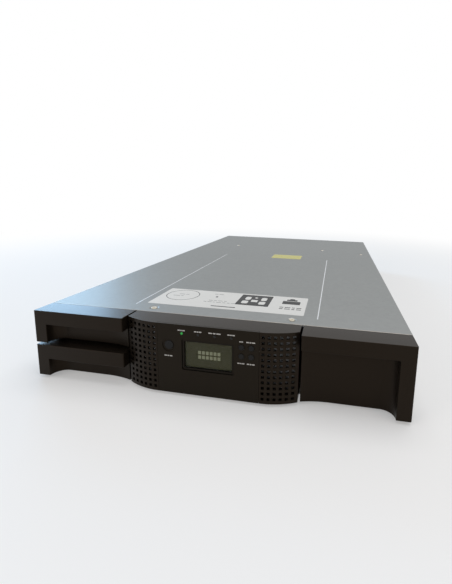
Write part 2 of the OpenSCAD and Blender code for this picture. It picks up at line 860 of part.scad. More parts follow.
// A gear outline with involute flanks; teeth from number n0 to n1 are drawn
module gear_plan(teeth, m, n0, n1) {
    r = teeth * m / 2;
    rb = r * cos(20);
    half = 90 / teeth - 0.06 * m * 180 / PI / r;
    inv20 = tan(20) * 180 / PI - 20;
    radii = [r - 1.25 * m, max(rb, r - 0.7 * m), r, r + 0.5 * m, r + m * 0.95];
    function spread(q) = half + inv20 - (q > rb ? tan(acos(rb / q)) * 180 / PI - acos(rb / q) : 0);
    circle(r = r - 1.25 * m + eps, $fn = 128);
    for (k = [n0:n1]) rotate(k * 360 / teeth) polygon(concat(
        [[0, 0]],
        [for (q = radii) [q * cos(spread(q)), -q * sin(spread(q))]],
        [for (i = [len(radii) - 1:-1:0]) [radii[i] * cos(spread(radii[i])), radii[i] * sin(spread(radii[i]))]]
    ));
}

module guide_shaft() {
    color("gainsboro") place() rod_y(-shaft_x, shaft_z, shaft_r, shaft_start, shaft_end);
}

// A rack along the aisle floor, with its teeth towards the middle
module gear_rack() {
    p = PI * rack_module;
    m = rack_module;
    half = p / 4 - 0.06 * m;
    t20 = tan(20);
    teeth = floor((shaft_end - case_y - 8) / p);
    y_mesh = robot_y + pinion_y;
    k0 = -floor((y_mesh - case_y - 6) / p);
    color("dimgray") place() {
        box([rack_root_x, case_y + 2, sheet_t], [rack_root_x + 4.5, shaft_end, base_top - slide_gap]);
        translate([0, 0, rack_z]) linear_extrude(rack_h) for (k = [k0:k0 + teeth]) {
            y = y_mesh + k * p;
            polygon([
                [rack_root_x + eps, y - half - 1.25 * m * t20], [rack_pitch_x - 0.95 * m, y - half + 0.95 * m * t20],
                [rack_pitch_x - 0.95 * m, y + half - 0.95 * m * t20], [rack_root_x + eps, y + half + 1.25 * m * t20]
            ]);
        }
    }
}

module travel_pinion() {
    color("gainsboro") place() translate([pinion_x, robot_y + pinion_y, 0]) {
        translate([0, 0, rack_z]) linear_extrude(rack_h) rotate(180 / pinion_teeth)
            gear_plan(pinion_teeth, rack_module, 0, pinion_teeth - 1);
        rod_z(0, 0, 2, rack_z + rack_h - eps, motor_z + 5);
    }
}

module robot_base() {
    color("lightgray") place() translate([0, robot_y, 0]) difference() {
        union() {
            box([-shaft_x + 5.5, -base_front, base_z], [base_right, base_rear, base_top]);
            rod_z(0, 0, hub_r, base_z, turntable_top - slide_gap);
            // bracket of the travel motor and the hook over the rack
            box([pinion_x - 28, pinion_y + 12, base_top - eps], [pinion_x + 9, pinion_y + 18, motor_z]);
            box([pinion_x - 12, pinion_y - 10, motor_z - motor_plate_t], [pinion_x + 11, pinion_y + 18, motor_z]);
            box([rack_root_x - 14, pinion_y + 12, base_top - eps], [rack_root_x + 4, base_rear, base_top + 3]);
            // bracket of the turn motor
            box([-turn_xy - 12, turn_xy + turn_r + 4, base_top - eps], [-turn_xy + 10, base_rear, motor_z]);
            box([-turn_xy - 12, turn_xy - 9, motor_z - motor_plate_t], [-turn_xy + 10, base_rear, motor_z]);
        }
        rod_z(pinion_x, pinion_y, pinion_r + 2.4, base_z - 1, base_top + eps);
        rod_z(pinion_x, pinion_y, 3, base_top, motor_z + 1);
        rod_z(-turn_xy, turn_xy, 3, base_top, motor_z + 1);
    }
}

module shaft_bushes() {
    color("peru") place() for (y = [robot_y - 50, robot_y + 60]) difference() {
        box([-shaft_x - 5.5, y - 5, 2.2], [-shaft_x + 5.5, y + 15, rail_top]);
        rod_y(-shaft_x, shaft_z, shaft_r + run_gap, y - 6, y + 16);
    }
}

module robot_motors() {
    color("dimgray") place() for (p = [[pinion_x, robot_y + pinion_y], [-turn_xy, robot_y + turn_xy]])
        difference() {
            rod_z(p[0], p[1], motor_r, motor_z, motor_z + motor_h);
            rod_z(p[0], p[1], 2 + run_gap, motor_z - 1, motor_z + 5 + slide_gap);
        }
}

module turn_pinion() {
    color("gainsboro") place() translate([-turn_xy, robot_y + turn_xy, 0]) {
        translate([0, 0, turntable_z]) linear_extrude(turntable_t) rotate(-45 + 180 / turn_teeth)
            gear_plan(turn_teeth, turn_module, 0, turn_teeth - 1);
        rod_z(0, 0, 2, turntable_top - eps, motor_z + 5);
    }
}

module turntable() {
    color("#6f7478") place() translate([0, robot_y, turntable_z]) difference() {
        linear_extrude(turntable_t) rotate(135) gear_plan(ring_teeth, turn_module, -32, 32);
        translate([0, 0, -1]) cylinder(r = hub_r + run_gap, h = 5);
        for (a = [0:60:300]) rotate(a + 30) translate([42, 0, -1]) cylinder(r = 13, h = 5);
    }
}

// The lift's two posts stand on the turntable beside the platform
module lift_posts() {
    color("silver") place() translate([0, robot_y, 0]) for (s = [0, 1]) mirror([s, 0, 0])
        box([post_v, -post_half_u, turntable_top], [post_v + post_t, post_half_u, post_top]);
}

motor_foot_z = post_top - 10;

module lift_motor() {
    color("dimgray") place() translate([0, robot_y, 0]) difference() {
        box([-post_v - 5.2, post_half_u, motor_foot_z], [-glide_v, post_half_u + 12, post_top]);
        rod_z(-screw_v, screw_u, screw_r + run_gap, motor_foot_z - 1, motor_foot_z + 4 + slide_gap);
    }
}

module lift_screw() {
    color("gainsboro") place() translate([0, robot_y, 0])
        rod_z(-screw_v, screw_u, screw_r, turntable_top + slide_gap, motor_foot_z + 4);
}

module lift_platform() {
    color("#8a8f93") place() translate([0, robot_y, 0]) difference() {
        union() {
            box([-tray_half_v, tray_u0, tray_z], [tray_half_v, tray_u1, row_z]);
            for (s = [0, 1]) mirror([s, 0, 0]) {
                box([tray_wall_v, tray_u0, row_z - eps], [tray_half_v, tray_u1, row_z + 18]);
                box([tray_half_v - eps, -12, tray_z], [glide_v, 12, row_z + 14]);
            }
            box([-post_v - post_t, screw_u - 5, tray_z], [-tray_half_v + eps, screw_u + 6, tray_z + 5]);
        }
        rod_z(-screw_v, screw_u, screw_r + run_gap, tray_z - 1, tray_z + 6);
    }
}

module barcode_reader() {
    color("black") place() translate([0, robot_y, 0])
        box([tray_half_v, 38, tray_z + 9], [tray_half_v + 5, 50, tray_z + 20]);
}

module cartridge_picker() {
    color("gainsboro") place() translate([0, robot_y, 0]) {
        box([-arm_v - arm_t, tray_u0 - 3, row_z + 1], [arm_v + arm_t, tray_u0 - slide_gap, row_z + 21]);
        for (s = [0, 1]) mirror([s, 0, 0])
            box([arm_v, tray_u0 - slide_gap - eps, row_z + 3], [arm_v + arm_t, tray_u1 - 2, row_z + 10]);
    }
}

// ---------- Rear modules ----------

// A D-shaped grip: two legs and a bar, standing on a panel's outer face
module rear_grip(x, z, span) {
    y = rear_y + panel_t;
    for (s = [-1, 1]) box([x + s * span / 2 - 2.5, y - eps, z - 4], [x + s * span / 2 + 2.5, y + rear_grip, z + 4]);
    box([x - span / 2 - 2.5, y + rear_grip - 4, z - 4], [x + span / 2 + 2.5, y + rear_grip, z + 4]);
}

// Ring slots in front of a fan, with four spokes left standing
module fan_slots(x, z) {
    difference() {
        for (r = [7, 11.5, 16]) difference() {
            rod_y(x, z, r + 1.4, rear_y - 2, rear_y + panel_t + 1);
            rod_y(x, z, r - 1.4, rear_y - 3, rear_y + panel_t + 2);
        }
        for (a = [0, 90]) translate([x, rear_y, z]) rotate([0, a + 45, 0]) cube([2.4, 8, 60], center = true);
    }
}

module drive_sled() {
    color("silver") place() difference() {
        union() {
            box([-sled_half, sled_y, sled_z], [sled_half, rear_y, drive_z]);
            for (s = [0, 1]) mirror([s, 0, 0])
                box([sled_half - sheet_t, sled_y, sled_z], [sled_half, rear_y, drive_z + drive_h]);
            box([-sled_panel_half, rear_y, panel_z], [sled_panel_half, rear_y + panel_t, panel_top]);
            rear_grip(-30, fan_z, 46);
        }
        fan_slots(drive_fan_x, fan_z);
    }
}

module tape_drive() {
    color("#2f3134") place() difference() {
        box([-drive_w / 2, drive_y, drive_z], [drive_w / 2, drive_y + drive_d, drive_z + drive_h]);
        box([-mouth_w / 2, drive_y - 1, mouth_z], [mouth_w / 2, drive_y + mouth_d, mouth_z + mouth_h]);
    }
}

module fan_frame(x, z) {
    difference() {
        box([x - fan_size / 2, rear_y - fan_t, z - fan_size / 2], [x + fan_size / 2, rear_y, z + fan_size / 2]);
        rod_y(x, z, fan_bore, rear_y - fan_t - 1, rear_y + 1);
    }
    rod_y(x, z, 7, rear_y - 2.4, rear_y);
    for (a = [0:120:240]) translate([x, rear_y - 1.2, z]) rotate([0, a, 0])
        translate([0, -1.2, -1.5]) cube([fan_bore + 0.3, 2.4, 3]);
}

// A hub with seven flat, pitched blades
module fan_rotor(x, z) {
    rod_y(x, z, 8, rear_y - fan_t + 1, rear_y - 2.4 - slide_gap);
    intersection() {
        rod_y(x, z, rotor_r, rear_y - fan_t + 1, rear_y - 2.4 - slide_gap);
        for (a = [0:6]) translate([x, rear_y - fan_t / 2 - 1, z]) rotate([0, a * 360 / 7, 0])
            rotate([40, 0, 0]) translate([6, -0.6, -9]) cube([rotor_r, 1.2, 18]);
    }
}

module drive_fan_frame() {
    color("#1a1a1a") place() fan_frame(drive_fan_x, fan_z);
}

module drive_fan_rotor() {
    color("#222222") place() fan_rotor(drive_fan_x, fan_z);
}

module thumbscrew(x, z) {
    rod_y(x, z, 4, rear_y + panel_t + 1, rear_y + panel_t + 9);
    rod_y(x, z, 2.4, rear_y + panel_t, rear_y + panel_t + 1 + eps);
}

module drive_thumbscrews() {
    color("royalblue") place() for (s = [-1, 1]) thumbscrew(s * (sled_panel_half - 6), 40);
}

module power_supply() {
    x0 = psu_x - psu_w / 2;
    x1 = psu_x + psu_w / 2;
    y0 = rear_y - psu_d;
    color("silver") place() {
        difference() {
            union() {
                box([x0, y0, psu_z], [x1, rear_y, psu_z + psu_h]);
                box([psu_x - bay_panel_half, rear_y, panel_z], [psu_x + bay_panel_half, rear_y + panel_t, panel_top - 1]);
                rear_grip(psu_x - 1, 9, 36);
            }
            box([x0 + sheet_t, y0 + sheet_t, psu_z + sheet_t], [x1 - sheet_t, rear_y, psu_z + psu_h - sheet_t]);
            for (x = [x0 + 8:7:x1 - 8]) box([x - 2, y0 - 1, psu_z + 6], [x + 2, y0 + 3, psu_z + psu_h - 6]);
            fan_slots(psu_fan_x, psu_fan_z);
            box([inlet_x - 14, rear_y - 3, psu_fan_z - 10], [inlet_x + 14, rear_y + 5, psu_fan_z + 10]);
        }
        fan_frame(psu_fan_x, psu_fan_z);
    }
}

module psu_fan_rotor() {
    color("#222222") place() fan_rotor(psu_fan_x, psu_fan_z);
}

// The appliance inlet: a socket with three blades set back from its mouth
module power_inlet() {
    color("#151515") place() {
        difference() {
            box([inlet_x - 14 + fit_gap, rear_y - 18, psu_fan_z - 10 + fit_gap],
                [inlet_x + 14 - fit_gap, rear_y + panel_t, psu_fan_z + 10 - fit_gap]);
            box([inlet_x - 12, rear_y - 16, psu_fan_z - 8], [inlet_x + 12, rear_y + panel_t + 1, psu_fan_z + 8]);
        }
        for (p = [[-7, -2], [0, 2], [7, -2]])
            box([inlet_x + p[0] - 1, rear_y - 16 - eps, psu_fan_z + p[1] - 2],
                [inlet_x + p[0] + 1, rear_y - 3.5, psu_fan_z + p[1] + 2]);
    }
}

module psu_thumbscrews() {
    color("royalblue") place() for (s = [-1, 1]) thumbscrew(psu_x + s * (bay_panel_half - 6), 9);
}

port_y = rear_y - 16;

module controller_card() {
    color("darkgreen") place() {
        box([card_x - bay_panel_half + 12, rear_y - card_d, card_board_z],
            [card_x + bay_panel_half - 12, rear_y, card_board_z + board_t]);
        difference() {
            box([card_x - bay_panel_half, rear_y, panel_z], [card_x + bay_panel_half, rear_y + panel_t, panel_z + card_h]);
            port_cuts();
        }
        for (x = [-40, 0, 40])
            box([card_x + x - 8, rear_y - 90, card_board_z + board_t], [card_x + x + 8, rear_y - 70, card_board_z + board_t + 3]);
    }
}

// Centre, width and height of each port on the controller
ports = [[-30, 16, 13.4], [-4, 13.2, 6], [26, 31, 12.6]];

module port_cuts() {
    for (p = ports)
        box([card_x + p[0] - p[1] / 2 - 0.2, rear_y - 1, card_board_z + board_t - 0.2],
            [card_x + p[0] + p[1] / 2 + 0.2, rear_y + 5, card_board_z + board_t + p[2] + 0.2]);
}

module controller_ports() {
    z = card_board_z + board_t;
    color("silver") place() for (p = ports) difference() {
        box([card_x + p[0] - p[1] / 2, port_y, z], [card_x + p[0] + p[1] / 2, rear_y + panel_t + 0.6, z + p[2]]);
        box([card_x + p[0] - p[1] / 2 + 0.7, port_y + 3, z + 0.7],
            [card_x + p[0] + p[1] / 2 - 0.7, rear_y + 5, z + p[2] - 0.7]);
    }
}

base_tray();
left_side_panel();
right_side_panel();
top_cover();
case_screws();
rear_frame();
left_magazine_rails();
right_magazine_rails();
front_crossmember();
center_bezel();
control_fascia();
display_frame();
display_window();
display_panel();
control_board();
ready_light();
status_lights();
power_button();
up_key();
down_key();
cancel_key();
select_key();
left_magazine_base();
left_magazine_dividers();
left_cartridges();
left_handle();
mail_slot_tray();
mail_slot_handle();
right_magazine_base();
right_magazine_dividers();
right_cartridges();
right_handle();
left_lock_pawl();
right_lock_pawl();
lock_solenoids();
guide_shaft();
gear_rack();
robot_base();
shaft_bushes();
robot_motors();
travel_pinion();
turn_pinion();
turntable();
lift_posts();
lift_motor();
lift_screw();
lift_platform();
barcode_reader();
cartridge_picker();
drive_sled();
tape_drive();
drive_fan_frame();
drive_fan_rotor();
drive_thumbscrews();
power_supply();
psu_fan_rotor();
power_inlet();
psu_thumbscrews();
controller_card();
controller_ports();
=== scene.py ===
"""Looks of a rack-mount data tape library: case, bezel, magazines, robot and rear modules.

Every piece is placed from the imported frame's own boxes. Lengths are in millimetres in the
dataclasses below and are turned into metres by MM.
"""

from __future__ import annotations

import json
import logging
import math
from dataclasses import dataclass, field
from enum import Enum
from typing import Callable, Iterable

import bpy
from mathutils import Matrix, Vector

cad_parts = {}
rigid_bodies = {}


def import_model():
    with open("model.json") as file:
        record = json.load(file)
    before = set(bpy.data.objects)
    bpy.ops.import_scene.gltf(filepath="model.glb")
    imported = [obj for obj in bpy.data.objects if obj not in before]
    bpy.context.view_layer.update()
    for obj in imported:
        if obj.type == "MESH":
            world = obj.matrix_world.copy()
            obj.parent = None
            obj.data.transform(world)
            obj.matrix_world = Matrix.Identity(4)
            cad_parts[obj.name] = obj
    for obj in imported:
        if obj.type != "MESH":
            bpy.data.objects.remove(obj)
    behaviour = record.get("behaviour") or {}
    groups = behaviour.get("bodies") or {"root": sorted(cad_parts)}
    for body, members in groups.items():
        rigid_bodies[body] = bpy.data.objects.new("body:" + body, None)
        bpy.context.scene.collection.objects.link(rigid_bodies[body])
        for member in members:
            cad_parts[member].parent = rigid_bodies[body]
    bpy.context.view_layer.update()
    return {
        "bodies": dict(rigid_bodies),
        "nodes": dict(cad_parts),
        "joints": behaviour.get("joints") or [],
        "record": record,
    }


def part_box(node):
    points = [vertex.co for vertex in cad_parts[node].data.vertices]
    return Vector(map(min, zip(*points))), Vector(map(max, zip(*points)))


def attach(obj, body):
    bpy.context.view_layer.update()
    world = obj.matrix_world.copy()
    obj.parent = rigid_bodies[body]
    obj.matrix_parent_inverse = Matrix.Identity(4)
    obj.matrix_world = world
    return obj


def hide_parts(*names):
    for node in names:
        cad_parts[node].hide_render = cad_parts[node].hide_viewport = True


MM = 0.001
IMAGE_W, IMAGE_H = 452, 584
SENSOR = 36.0
LOG = logging.getLogger("tape_library")

Point = tuple[float, float, float]
Colour = tuple[float, float, float]


# ---------------------------------------------------------------- finishes

MATERIALS: dict[str, bpy.types.Material] = {}


class Grain(Enum):
    """Surface structure that a finish carries."""

    SMOOTH = "smooth"
    MOULDED = "moulded"
    BRUSHED = "brushed"
    GALVANISED = "galvanised"
    CAST = "cast"
    PRINTED = "printed"
    SCREEN = "screen"


@dataclass(frozen=True)
class Finish:
    """A paint, plastic or metal, and the procedural material made from it."""

    name: str
    colour: Colour
    roughness: float
    metallic: float = 0.0
    grain: Grain = Grain.MOULDED
    grain_mm: float = 0.35
    depth_mm: float = 0.012
    mottle: float = 0.06
    mottle_mm: float = 45.0
    specular: float = 0.5
    sheen: Colour = (1.0, 1.0, 1.0)
    coat: float = 0.0
    alpha: float = 1.0
    glow: float = 0.0

    def material(self) -> bpy.types.Material:
        """The finish's material, built on first use.

        Returns:
            The material, shared by all pieces of this finish.
        """
        if self.name not in MATERIALS:
            MATERIALS[self.name] = self._build()
        return MATERIALS[self.name]

    def _build(self) -> bpy.types.Material:
        """Lays out colour, roughness and bump nodes round one shader."""
        mat = bpy.data.materials.new(f"look_{self.name}")
        mat.use_nodes = True
        nodes, links = mat.node_tree.nodes, mat.node_tree.links
        shader = nodes["Principled BSDF"]
        shader.inputs["Metallic"].default_value = self.metallic
        shader.inputs["Specular IOR Level"].default_value = self.specular
        # Specular Tint: on the black mouldings a warm tint that paints a warm reflection; on the cover
        # a grey edge tint that lowers its reflectance at grazing angles.
        shader.inputs["Specular Tint"].default_value = (*self.sheen, 1.0)
        shader.inputs["Coat Weight"].default_value = self.coat
        shader.inputs["Coat Roughness"].default_value = 0.12
        shader.inputs["Alpha"].default_value = self.alpha
        if self.glow:
            shader.inputs["Emission Color"].default_value = (*self.colour, 1.0)
            shader.inputs["Emission Strength"].default_value = self.glow
        place = nodes.new("ShaderNodeTexCoord").outputs["Object"]
        cloud = self._noise(nodes, links, place, self.mottle_mm, 3.0)
        tone = self._tone(nodes, links, cloud)
        if self.grain is Grain.GALVANISED:
            tone = self._spangle(nodes, links, place, tone)
        if self.grain is Grain.SCREEN:
            tone = self._screen(nodes, links, place, tone)
        links.new(tone, shader.inputs["Base Color"])
        fine = self._fine(nodes, links, place)
        rough = nodes.new("ShaderNodeMapRange")
        rough.inputs["To Min"].default_value = max(self.roughness - 0.06, 0.02)
        rough.inputs["To Max"].default_value = min(self.roughness + 0.06, 1.0)
        links.new(cloud if self.grain is Grain.SMOOTH else fine, rough.inputs["Value"])
        links.new(rough.outputs["Result"], shader.inputs["Roughness"])
        if self.depth_mm:
            bump = nodes.new("ShaderNodeBump")
            bump.inputs["Strength"].default_value = 1.0
            bump.inputs["Distance"].default_value = self.depth_mm * MM
            links.new(fine, bump.inputs["Height"])
            links.new(bump.outputs["Normal"], shader.inputs["Normal"])
        return mat

    @staticmethod
    def _noise(nodes, links, place, size_mm: float, detail: float):
        """A noise whose features are about size_mm across; returns its socket."""
        noise = nodes.new("ShaderNodeTexNoise")
        noise.inputs["Scale"].default_value = 1.0 / (size_mm * MM)
        noise.inputs["Detail"].default_value = detail
        links.new(place, noise.inputs["Vector"])
        return noise.outputs["Fac"]

    def _tone(self, nodes, links, cloud):
        """Mixes a darker and a lighter shade of the colour by the cloud."""
        mix = nodes.new("ShaderNodeMix")
        mix.data_type = "RGBA"
        mix.inputs["A"].default_value = (*[c * (1 - self.mottle) for c in self.colour], 1.0)
        mix.inputs["B"].default_value = (*[min(c * (1 + self.mottle), 1.0) for c in self.colour], 1.0)
        links.new(cloud, mix.inputs["Factor"])
        return mix.outputs["Result"]

    def _fine(self, nodes, links, place):
        """The fine structure that drives bump and roughness; returns its socket."""
        if self.grain is Grain.BRUSHED:
            stretch = nodes.new("ShaderNodeMapping")
            stretch.inputs["Scale"].default_value = (0.03, 1.0, 1.0)
            links.new(place, stretch.inputs["Vector"])
            place = stretch.outputs["Vector"]
        if self.grain is Grain.CAST:
            cells = nodes.new("ShaderNodeTexVoronoi")
            cells.feature = "SMOOTH_F1"
            cells.inputs["Scale"].default_value = 1.0 / (self.grain_mm * 2.2 * MM)
            links.new(place, cells.inputs["Vector"])
            return cells.outputs["Distance"]
        return self._noise(nodes, links, place, self.grain_mm, 2.0)

    @staticmethod
    def _spangle(nodes, links, place, tone):
        """Zinc spangle: cells a few millimetres across, each a little lighter or darker."""
        cells = nodes.new("ShaderNodeTexVoronoi")
        cells.inputs["Scale"].default_value = 1.0 / (5.0 * MM)
        links.new(place, cells.inputs["Vector"])
        grey = nodes.new("ShaderNodeRGBToBW")
        links.new(cells.outputs["Color"], grey.inputs["Color"])
        level = nodes.new("ShaderNodeMapRange")
        level.inputs["To Min"].default_value = 0.965
        level.inputs["To Max"].default_value = 1.035
        links.new(grey.outputs["Val"], level.inputs["Value"])
        scaled = nodes.new("ShaderNodeVectorMath")
        scaled.operation = "SCALE"
        links.new(tone, scaled.inputs[0])
        links.new(level.outputs["Result"], scaled.inputs["Scale"])
        return scaled.outputs["Vector"]

    @staticmethod
    def _screen(nodes, links, place, tone):
        """Liquid-crystal glass: a faint dot raster over the colour."""
        dots = nodes.new("ShaderNodeTexChecker")
        dots.inputs["Scale"].default_value = 1.0 / (0.45 * MM)
        dots.inputs["Color1"].default_value = (1.0, 1.0, 1.0, 1.0)
        dots.inputs["Color2"].default_value = (0.86, 0.86, 0.86, 1.0)
        links.new(place, dots.inputs["Vector"])
        mix = nodes.new("ShaderNodeMix")
        mix.data_type = "RGBA"
        mix.blend_type = "MULTIPLY"
        mix.inputs["Factor"].default_value = 1.0
        links.new(tone, mix.inputs["A"])
        links.new(dots.outputs["Color"], mix.inputs["B"])
        return mix.outputs["Result"]


# Warm specular tint that paints a warm reflection onto the black mouldings, the fascia and the display
# frame.
WARM_PAINTED_REFLECTION = (1.0, 0.76, 0.56)

COVER_STEEL = Finish("cover_zinc_sheet", (0.305, 0.312, 0.308), 0.44, metallic=0.75,
                     grain=Grain.GALVANISED, grain_mm=0.9, depth_mm=0.005, mottle=0.04,
                     mottle_mm=160.0, sheen=(0.45, 0.46, 0.46))
CASE_STEEL = Finish("case_zinc_sheet", (0.30, 0.305, 0.31), 0.40, metallic=0.8,
                    grain=Grain.GALVANISED, grain_mm=0.9, depth_mm=0.005, mottle=0.06, mottle_mm=120.0)
# Near-black mouldings; the brownish tint of these base colours is partly painted warm reflection.
BLACK_MOULDING = Finish("black_moulding", (0.0080, 0.0062, 0.0046), 0.33, grain=Grain.CAST,
                        grain_mm=0.28, depth_mm=0.008, mottle=0.10, mottle_mm=30.0,
                        specular=0.16, sheen=WARM_PAINTED_REFLECTION)
FASCIA_BLACK = Finish("fascia_black", (0.0080, 0.0070, 0.0052), 0.34, grain_mm=0.30,
                      depth_mm=0.003, mottle=0.08, mottle_mm=30.0, specular=0.14, sheen=WARM_PAINTED_REFLECTION)
FRAME_BLACK = Finish("display_frame_black", (0.005, 0.005, 0.0045), 0.36, grain_mm=0.30,
                     depth_mm=0.004, mottle=0.06, mottle_mm=20.0, specular=0.14, sheen=WARM_PAINTED_REFLECTION)
SCREEN_GREEN = Finish("screen_green", (0.036, 0.035, 0.013), 0.32, grain=Grain.SCREEN,
                      depth_mm=0.0, mottle=0.10, mottle_mm=22.0, specular=0.15)
SCREEN_GLASS = Finish("screen_glass", (0.30, 0.33, 0.28), 0.05, grain=Grain.SMOOTH,
                      depth_mm=0.0, mottle=0.02, mottle_mm=20.0, specular=0.25, alpha=0.05)
SCREEN_MARK = Finish("screen_mark", (0.20, 0.21, 0.13), 0.35, grain=Grain.PRINTED,
                     grain_mm=0.5, depth_mm=0.0, mottle=0.05, mottle_mm=10.0, specular=0.3)
GREEN_LENS = Finish("green_lens", (0.02, 0.22, 0.04), 0.22, grain=Grain.SMOOTH, depth_mm=0.0,
                    mottle=0.05, mottle_mm=2.0, specular=0.3, glow=0.6)
DARK_LENS = Finish("dark_lens", (0.018, 0.018, 0.017), 0.25, grain=Grain.SMOOTH, depth_mm=0.0,
                   mottle=0.10, mottle_mm=2.0, specular=0.25)
KEY_RUBBER = Finish("key_rubber", (0.0055, 0.0052, 0.0048), 0.26, grain=Grain.CAST,
                    grain_mm=0.15, depth_mm=0.004, mottle=0.08, mottle_mm=4.0, specular=0.2)
WHITE_PRINT = Finish("white_print", (0.42, 0.41, 0.39), 0.55, grain=Grain.PRINTED,
                     grain_mm=0.25, depth_mm=0.004, mottle=0.08, mottle_mm=3.0)
LABEL_WHITE = Finish("label_white", (0.60, 0.585, 0.555), 0.42, grain=Grain.PRINTED,
                     grain_mm=1.2, depth_mm=0.004, mottle=0.03, mottle_mm=60.0)
LABEL_BLACK = Finish("label_black", (0.014, 0.014, 0.014), 0.45, grain=Grain.PRINTED,
                     grain_mm=0.6, depth_mm=0.004, mottle=0.10, mottle_mm=12.0, specular=0.25)
LABEL_GREY = Finish("label_grey", (0.22, 0.22, 0.21), 0.5, grain=Grain.PRINTED,
                    grain_mm=0.6, depth_mm=0.004, mottle=0.10, mottle_mm=5.0)
LABEL_YELLOW = Finish("label_yellow", (0.43, 0.39, 0.085), 0.42, grain=Grain.PRINTED,
                      grain_mm=0.8, depth_mm=0.004, mottle=0.05, mottle_mm=30.0)
MAGAZINE_GREY = Finish("magazine_moulding", (0.040, 0.042, 0.045), 0.46, grain=Grain.CAST,
                       grain_mm=0.45, depth_mm=0.010, mottle=0.08, mottle_mm=40.0, specular=0.4)
CARTRIDGE_BLUE = Finish("cartridge_moulding", (0.018, 0.022, 0.060), 0.40, grain=Grain.CAST,
                        grain_mm=0.30, depth_mm=0.008, mottle=0.10, mottle_mm=30.0, specular=0.4)
CARTRIDGE_LABEL = Finish("cartridge_label", (0.62, 0.62, 0.60), 0.55, grain=Grain.PRINTED,
                         grain_mm=0.8, depth_mm=0.004, mottle=0.05, mottle_mm=25.0)
TAB_RED = Finish("write_tab_red", (0.32, 0.035, 0.015), 0.4, grain_mm=0.4, depth_mm=0.004,
                 mottle=0.05, mottle_mm=6.0)
# Light tan metal that paints the highlight along the cover's folded front edge.
FOLD_PAINTED_HIGHLIGHT = Finish("painted_fold_highlight", (0.42, 0.37, 0.31), 0.32, metallic=0.9, grain=Grain.BRUSHED,
                  grain_mm=0.6, depth_mm=0.003, mottle=0.08, mottle_mm=20.0)
ZINC = Finish("bright_zinc", (0.55, 0.50, 0.40), 0.28, metallic=1.0, grain=Grain.BRUSHED,
              grain_mm=0.25, depth_mm=0.004, mottle=0.15, mottle_mm=3.0)
CASTING = Finish("robot_casting", (0.42, 0.43, 0.45), 0.45, metallic=0.8, grain=Grain.CAST,
                 grain_mm=0.8, depth_mm=0.012, mottle=0.08, mottle_mm=20.0)
GROUND_STEEL = Finish("ground_steel", (0.56, 0.56, 0.57), 0.16, metallic=1.0, grain=Grain.BRUSHED,
                      grain_mm=0.3, depth_mm=0.002, mottle=0.05, mottle_mm=10.0)
BRONZE = Finish("sintered_bronze", (0.42, 0.25, 0.11), 0.42, metallic=1.0, grain=Grain.CAST,
                grain_mm=0.25, depth_mm=0.006, mottle=0.15, mottle_mm=4.0)
MOTOR_BLACK = Finish("motor_black", (0.022, 0.022, 0.024), 0.38, grain=Grain.CAST,
                     grain_mm=0.5, depth_mm=0.008, mottle=0.10, mottle_mm=15.0, specular=0.35)
GEAR_WHITE = Finish("gear_acetal", (0.50, 0.48, 0.43), 0.38, grain_mm=0.6, depth_mm=0.004,
                    mottle=0.05, mottle_mm=15.0)
DRIVE_BLACK = Finish("drive_black", (0.018, 0.018, 0.020), 0.40, grain=Grain.CAST,
                     grain_mm=0.5, depth_mm=0.010, mottle=0.08, mottle_mm=30.0, specular=0.35)
FAN_BLACK = Finish("fan_black", (0.012, 0.012, 0.012), 0.42, grain_mm=0.4, depth_mm=0.008,
                   mottle=0.08, mottle_mm=15.0, specular=0.3)
SCREW_BLUE = Finish("thumbscrew_blue", (0.012, 0.055, 0.26), 0.38, grain_mm=0.3, depth_mm=0.006,
                    mottle=0.08, mottle_mm=5.0)
BOARD_GREEN = Finish("board_green", (0.010, 0.065, 0.026), 0.36, grain_mm=1.2, depth_mm=0.012,
                     mottle=0.15, mottle_mm=6.0, coat=0.3)
# Light metal for the painted highlight lines along the cover's pressed beads.
BEAD_PAINTED_HIGHLIGHT = Finish("painted_bead_highlight", (0.62, 0.64, 0.66), 0.35, metallic=0.9, grain=Grain.BRUSHED,
                   grain_mm=0.6, depth_mm=0.003, mottle=0.08, mottle_mm=20.0)
PORT_STEEL = Finish("port_tin", (0.48, 0.48, 0.48), 0.30, metallic=1.0, grain=Grain.BRUSHED,
                    grain_mm=0.4, depth_mm=0.003, mottle=0.06, mottle_mm=8.0)
CONTACT_GOLD = Finish("contact_gold", (0.68, 0.48, 0.17), 0.25, metallic=1.0, grain=Grain.SMOOTH,
                      depth_mm=0.0, mottle=0.05, mottle_mm=2.0)
FLOOR_WHITE = Finish("floor_white", (0.84, 0.84, 0.84), 0.85, grain=Grain.SMOOTH, grain_mm=3.0,
                     depth_mm=0.0, mottle=0.0, mottle_mm=500.0, specular=0.1)

